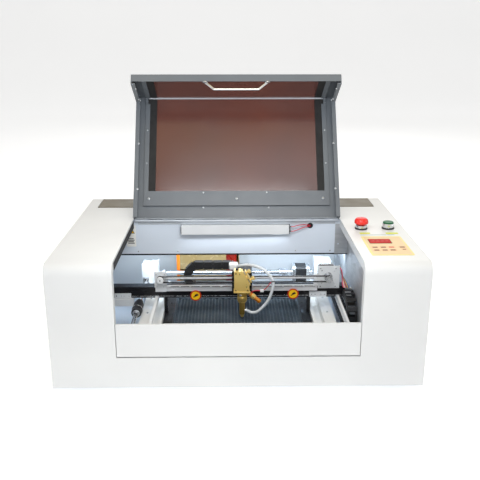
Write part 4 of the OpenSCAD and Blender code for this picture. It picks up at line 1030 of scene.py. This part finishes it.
def chain_piece(place, pitch, w, h, r, steps, upper, lower, bars):
    """A drag chain in x and z about the origin: side plates with joint pins, and cross bars.

    pitch, w and h are a link's, r is the bend's radius and steps its links, upper and lower are
    the links of the two runs, and bars is how much of a link its cross bars cover.
    """
    chain = Shape("black_plastic", "chip_black", place=place)
    step = pi / steps
    start = -r * tan(step / 2)
    places = []
    for count, level, flip in ((upper, r, 0), (lower, -r, pi)):
        for i in range(count):
            places.append((shift(start + (i + 0.5) * pitch, 0, level) @ spin(flip, "Y"), pitch))
    for i in range(1, steps):
        places.append((spin(-i * step, "Y") @ shift(0, 0, r), 2 * r * tan(step / 2)))
    for m, length in places:
        half = length / 2
        # Overlapping side plates: the link's own and the next link's cheek inside it
        plate = []
        for end in (1, -1):
            for k in range(9):
                a = radians(22.5 * k - 90 * end)
                plate.append((end * (half - 0.4 * h) + 0.4 * h * cos(a), 0.5 * h * sin(a)))
        for s in (-1, 1):
            y = sorted((-s * w / 2, -s * (w / 2 - 1.6)))
            chain.prism(plate, y, 0, m @ facing_front(0, 0, 0))
            inner = sorted((s * (w / 2 - 1.6), s * (w / 2 - 3.0)))
            chain.box((half - 0.55 * h, half + 0.3 * h), inner, (-0.36 * h, 0.36 * h), 0, m)
            pin = m @ basis((half, s * (w / 2 - 0.6), 0), (0, s, 0))
            chain.turned([(0, 0), (0, 0.2 * h), (0.9, 0.2 * h), (1.0, 0.16 * h), (1.0, 0)], 0, pin, 16)
        for z in ((h / 2 - 1.8, h / 2), (-h / 2, -h / 2 + 1.8)):
            chain.box((-bars * half, bars * half), (0.6 - w / 2, w / 2 - 0.6), z, 0, m)
    return chain


def make_chains():
    """Both drag chains. On the machine each bends between the body that holds its lower run and the one that
    moves; here each is one still shape, tied to no body.
    """
    _, (y0, y1), (z0, z1) = limits("x_chain")
    bend_x, y, middle, r = -93.4, (y0 + y1) / 2, (z0 + z1) / 2, 28.5
    chain = chain_piece(shift(bend_x, y, middle), 22.8, 17, 19, r, 4, 4, 5, 0.94)
    made = chain.make("x_drag_chain", None, "black_plastic", replaces=("x_chain",), bevel=0.35)
    bake_modifiers(made)
    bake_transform(made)

    z0, z1 = limits("y_chain")[2]
    x, y = 268, 200
    chain = chain_piece(shift(x, y, (z0 + z1) / 2) @ spin(pi / 2), 20, 24, 18, 38, 6, 2, 12, 0.5)
    made = chain.make("y_drag_chain", None, "black_plastic", replaces=("y_chain",), bevel=0.35)
    bake_modifiers(made)
    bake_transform(made)


def bake_modifiers(obj):
    """Turns an object's modifiers into its mesh."""
    graph = bpy.context.evaluated_depsgraph_get()
    mesh = bpy.data.meshes.new_from_object(obj.evaluated_get(graph))
    obj.modifiers.clear()
    obj.data = mesh


# ---- head


def make_head():
    hx, hy = 11, 202  # the lens tube's axis
    (fx0, fx1), (fy0, fy1), (tip, top) = limits("lens_tube")
    tube = Shape("dark_brass", "brass", "zinc", "chip_black")
    m = shift(hx, hy, 0)
    tube.box((fx0, fx1), (fy0, fy1), (top - 3, top), 1)
    tube.turned([(129, 0), (129, 10.8), (129.8, 11.5), (140, 11.5), (140.6, 11), (141.6, 11),
                 (142.2, 11.5), (top - 3, 11.5), (top - 3, 0)], 0, m, 48)
    tube.knurl(30, (11.3, 11.8), 0.55, (130.4, 139.4), m)
    tube.turned([(126, 0), (126, 9.4), (126.6, 10), (129, 10), (129, 0)], 1, m, 40)
    tube.turned([(tip + 8, 0), (tip + 8, 6.6), (tip + 8.6, 7), (126, 7), (126, 0)], 0, m, 40)
    tube.turned([(tip, 1.4), (tip, 3.2), (tip + 0.6, 3.6), (tip + 8, 6.5), (tip + 8, 1.4), (tip, 1.4)],
                1, m, 40)
    fitting = shift(hx, hy, 104) @ spin(radians(-6)) @ spin(pi / 2, "Y")
    tube.turned([(0, 0), (0, 3), (9, 3), (9.4, 4.2), (12.4, 4.2), (13, 3.4), (13, 0)], 2, fitting, 20)
    cap_screw(tube, (hx - 4, hy - 10.8, 147), (-0.3, -0.95, 0), 2.0, 1.8, 2, 3)
    tube.make("lens_tube_turned", "carriage", "brass", replaces=("lens_tube",), bevel=0.3)

    # Mirror mount screws, springs and fixing screws on the brass block
    top_z, front, slant = 207, 190, radians(62)
    face = shift(hx - 2, front, top_z) @ spin(slant, "Y")
    mount = Shape("brass", "dark_brass", "black_plastic", "chip_black", "zinc")
    for p in (11, 31):
        place = face @ shift(p, 10, 0)
        mount.turned([(11.8, 0), (11.8, 4.2), (12.6, 4.6), (17.6, 4.6), (18.4, 4.0), (18.4, 0)], 0, place, 28)
        mount.knurl(20, (4.4, 4.9), 0.4, (12.8, 17.4), place)
        for i in range(4):
            h = 3.1 + 0.75 * i
            mount.turned([(h, 2.0), (h, 3.3), (h + 0.4, 3.3), (h + 0.4, 2.0)], 4, place, 18)
    for p in (4.5, 37.5):
        cap_screw(mount, face @ Vector((p, 17, 3)), face.to_3x3() @ Vector(UP), 1.8, 1.5, 2, 3)
    for x, z in ((hx - 15, 160), (hx - 15, 202), (hx + 13, 160)):
        cap_screw(mount, (x, front, z), FRONT, 2.2, 1.6, 1, 3)
    cap_screw(mount, (hx - 12, 201, top_z), UP, 3.4, 4, 2, 3)
    mount.make("mirror_mount", "carriage", "brass")

    # Red-dot pointer in its clamp
    point = Shape("orange_anodised", "brass", "pointer_glow", "chip_black")
    tilt = radians(130)
    m = basis((hx + 19, 199, 147), (sin(tilt), 0, cos(tilt)))
    profile = [(0, 0), (0, 4.4), (0.6, 5)]
    for h in range(15, 25, 2):
        profile += [(h, 5), (h + 0.3, 4.6), (h + 0.9, 4.6), (h + 1.2, 5)]
    profile += [(30, 5), (31, 4.2), (31, 1.8), (30, 1.8), (30, 0)]
    point.turned(profile, 0, m, 32)
    point.disc(29.9, 30.2, 1.8, 2, m, 16)
    point.ring(4, 13, 4.9, 6.5, 1, m, 32)
    point.box((hx + 11.7, hx + 20), (196, 202), (147, 153), 1)
    cap_screw(point, (hx + 15, 196, 150), FRONT, 1.8, 1.6, 1, 3)
    point.make("dot_pointer", "carriage", "pointer_orange", replaces=("red_dot_pointer",), bevel=0.2)

    def beside(points, y=0):
        """A route given in x from the lens tube's axis."""
        return [(hx + p[0], p[1] + y, p[2]) for p in points]

    # Hose from the nozzle's fitting to the clamp on the carriage
    hose = Shape("hose", "white_plastic")
    route = beside((
        (12, 201, 103.5), (22, 200, 99), (35, 198, 101), (49, 196, 114), (62, 195, 132),
        (70, 195, 153), (73.5, 196, 171), (69, 199, 188), (56, 204, 202), (39, 211, 210.5),
        (22, 221, 212), (6, 232, 208), (-8, 243, 202), (-20, 254, 198.5),
    ))
    hose.swept(curve_through(route, 8), 3.6, 0, 20)
    hose.make("air_hose_tube", "carriage", "hose_white", replaces=("air_hose",))

    # The pointer's two leads and their connector, tied to the hose
    pair = Shape("lead_red", "white_plastic", "lead_black")
    way = ((20, 199, 149), (27, 198, 155), (37, 197, 156.5), (47, 196, 156.5), (56, 196, 162),
           (63, 196, 171), (69, 196, 179))
    for y in (-0.9, 0.9):
        pair.swept(curve_through(beside(way, y), 5), 0.75, 0, 10)
    pair.box((hx + 43, hx + 51), (193.5, 198.5), (153.5, 159), 1)
    pair.ring(-1.2, 1.2, 3.5, 4.3, 2, basis((hx + 72.2, 196, 180), (-0.25, 0.15, 1)), 24)
    pair.make("pointer_lead_pair", "carriage", "lamp_lead", replaces=("pointer_leads",), bevel=0.3)

    # White clamp that takes the hose into the chain, and the carriage's own screws
    clamp = Shape("white_plastic", "zinc", "chip_black")
    x, y = (hx - 31, hx - 9), (242.4, 265.6)
    hole = rounded((x[0] + 2, x[1] - 2), (y[0] + 2, y[1] - 2), 3)
    clamp.tube_prism(rounded(x, y, 4), hole, (193.1, 203.4))
    clamp.pad(x, y, (203.1, 204.9), 7)
    pan_screw(clamp, (hx - 20, 261, 204.9), UP, 2.6, 1, 2)
    for x, y in product((hx - 17, hx + 17), (232, 280)):
        cap_screw(clamp, (x, y, 193), UP, 2.8, 2.4, 1, 2)
    clamp.make("hose_clamp_cap", "carriage", "hose_white", bevel=0.4)


# ---- rear bay


def make_rear_details():
    (x0, x1), (y0, _), (z0, z1) = limits("exhaust_duct")
    # Orange strips on the left and top and a dark red strip on the right: painted reflection in red-brown
    # tones
    reflection_strips = Shape("orange_reflection", "red_brown_reflection", "zinc", "chip_black")
    reflection_strips.box((x0 - 0.4, x0 + 8), (y0 - 0.8, y0 + 0.6), (z0, z1))
    reflection_strips.box((x0 + 8, x1 - 30), (y0 - 0.8, y0 + 0.6), (z1 - 3, z1))
    reflection_strips.box((x1 - 36, x1 - 8), (y0 - 1.4, y0 + 1.2), (z0, z1), 1)
    reflection_strips.make("duct_reflection_strips", "root", "amber_duct", bevel=0.3)
    face = Shape("amber_paint")
    face.box((x0 + 8, x1 - 36), (y0 - 0.6, y0 + 1.0), (z0 + 34, z1 - 3))
    for i in range(6):
        face.box((x0 + 8, x1 - 36), (y0 - 0.9, y0 + 0.8), (z0 + 2 + 5.4 * i, z0 + 4.4 + 5.4 * i))
    face.make("duct_louvre", "root", "amber_duct", bevel=0.3)


def make_electronics():
    """Chips and terminals on the board, and dark hexagons on the supply's lid that paint the shade in its
    perforations, seen through the vents.
    """
    board = Shape("chip_black", "zinc", "board_green", "lead_blue")
    for i in range(6):
        board.box((306 + 12 * i, 312 + 12 * i), (160 + 3 * (i % 2), 170), (36, 38.4), 0)
    for i in range(4):
        board.turned([(36, 0), (36, 3.4), (46, 3.4), (46.4, 3), (46.4, 0)], 1,
                     Matrix.Translation((312 + 16 * i, 182, 0)), 20)
    board.make("board_chips", "root", "board_green", bevel=0.2)
    # Dark hexagons on the supply's lid: painted shade in its perforations
    vents = Shape("chip_black")
    (x0, _), (y0, _), (_, z1) = limits("power_supply")
    for i in range(7):
        for k in range(11):
            vents.prism(circle(2.6, 6, (x0 + 9 + 12.5 * i, y0 + 20 + 11 * k)), (z1 - 0.2, z1 + 0.05))
    vents.make("supply_vent_shade", "root", "galvanised")


def make_tube_details():
    """Inner tube, electrodes and end caps of the laser tube."""
    (x0, x1), (y0, y1), (z0, z1) = limits("laser_tube")
    m = basis((0, (y0 + y1) / 2, (z0 + z1) / 2), RIGHT)
    core = Shape("glass", "zinc", "nylon", "lead_red")
    core.ring(x0 + 40, x1 - 40, 4, 6, 0, m, 24)
    for a, b in ((x0 + 20, x0 + 52), (x1 - 52, x1 - 20)):
        core.ring(a, b, 10, 11, 1, m, 28)
    for a, b in ((x0 - 0.4, x0 + 10), (x1 - 10, x1 + 0.4)):
        core.disc(a, b, 14.6, 1, m, 28)
    core.make("tube_core", "root", "laser_glass")


# ---- all together

make_materials()
add_camera()
add_studio()
dress_cad()
make_head()
make_leads()
make_wall_details()
make_body_details()
make_panel()
make_buttons()
make_lid()
make_honeycomb()
make_bed_details()
make_motors()
make_pulleys()
make_bearing()
make_gantry_details()
make_chains()
make_rear_details()
make_electronics()
make_tube_details()
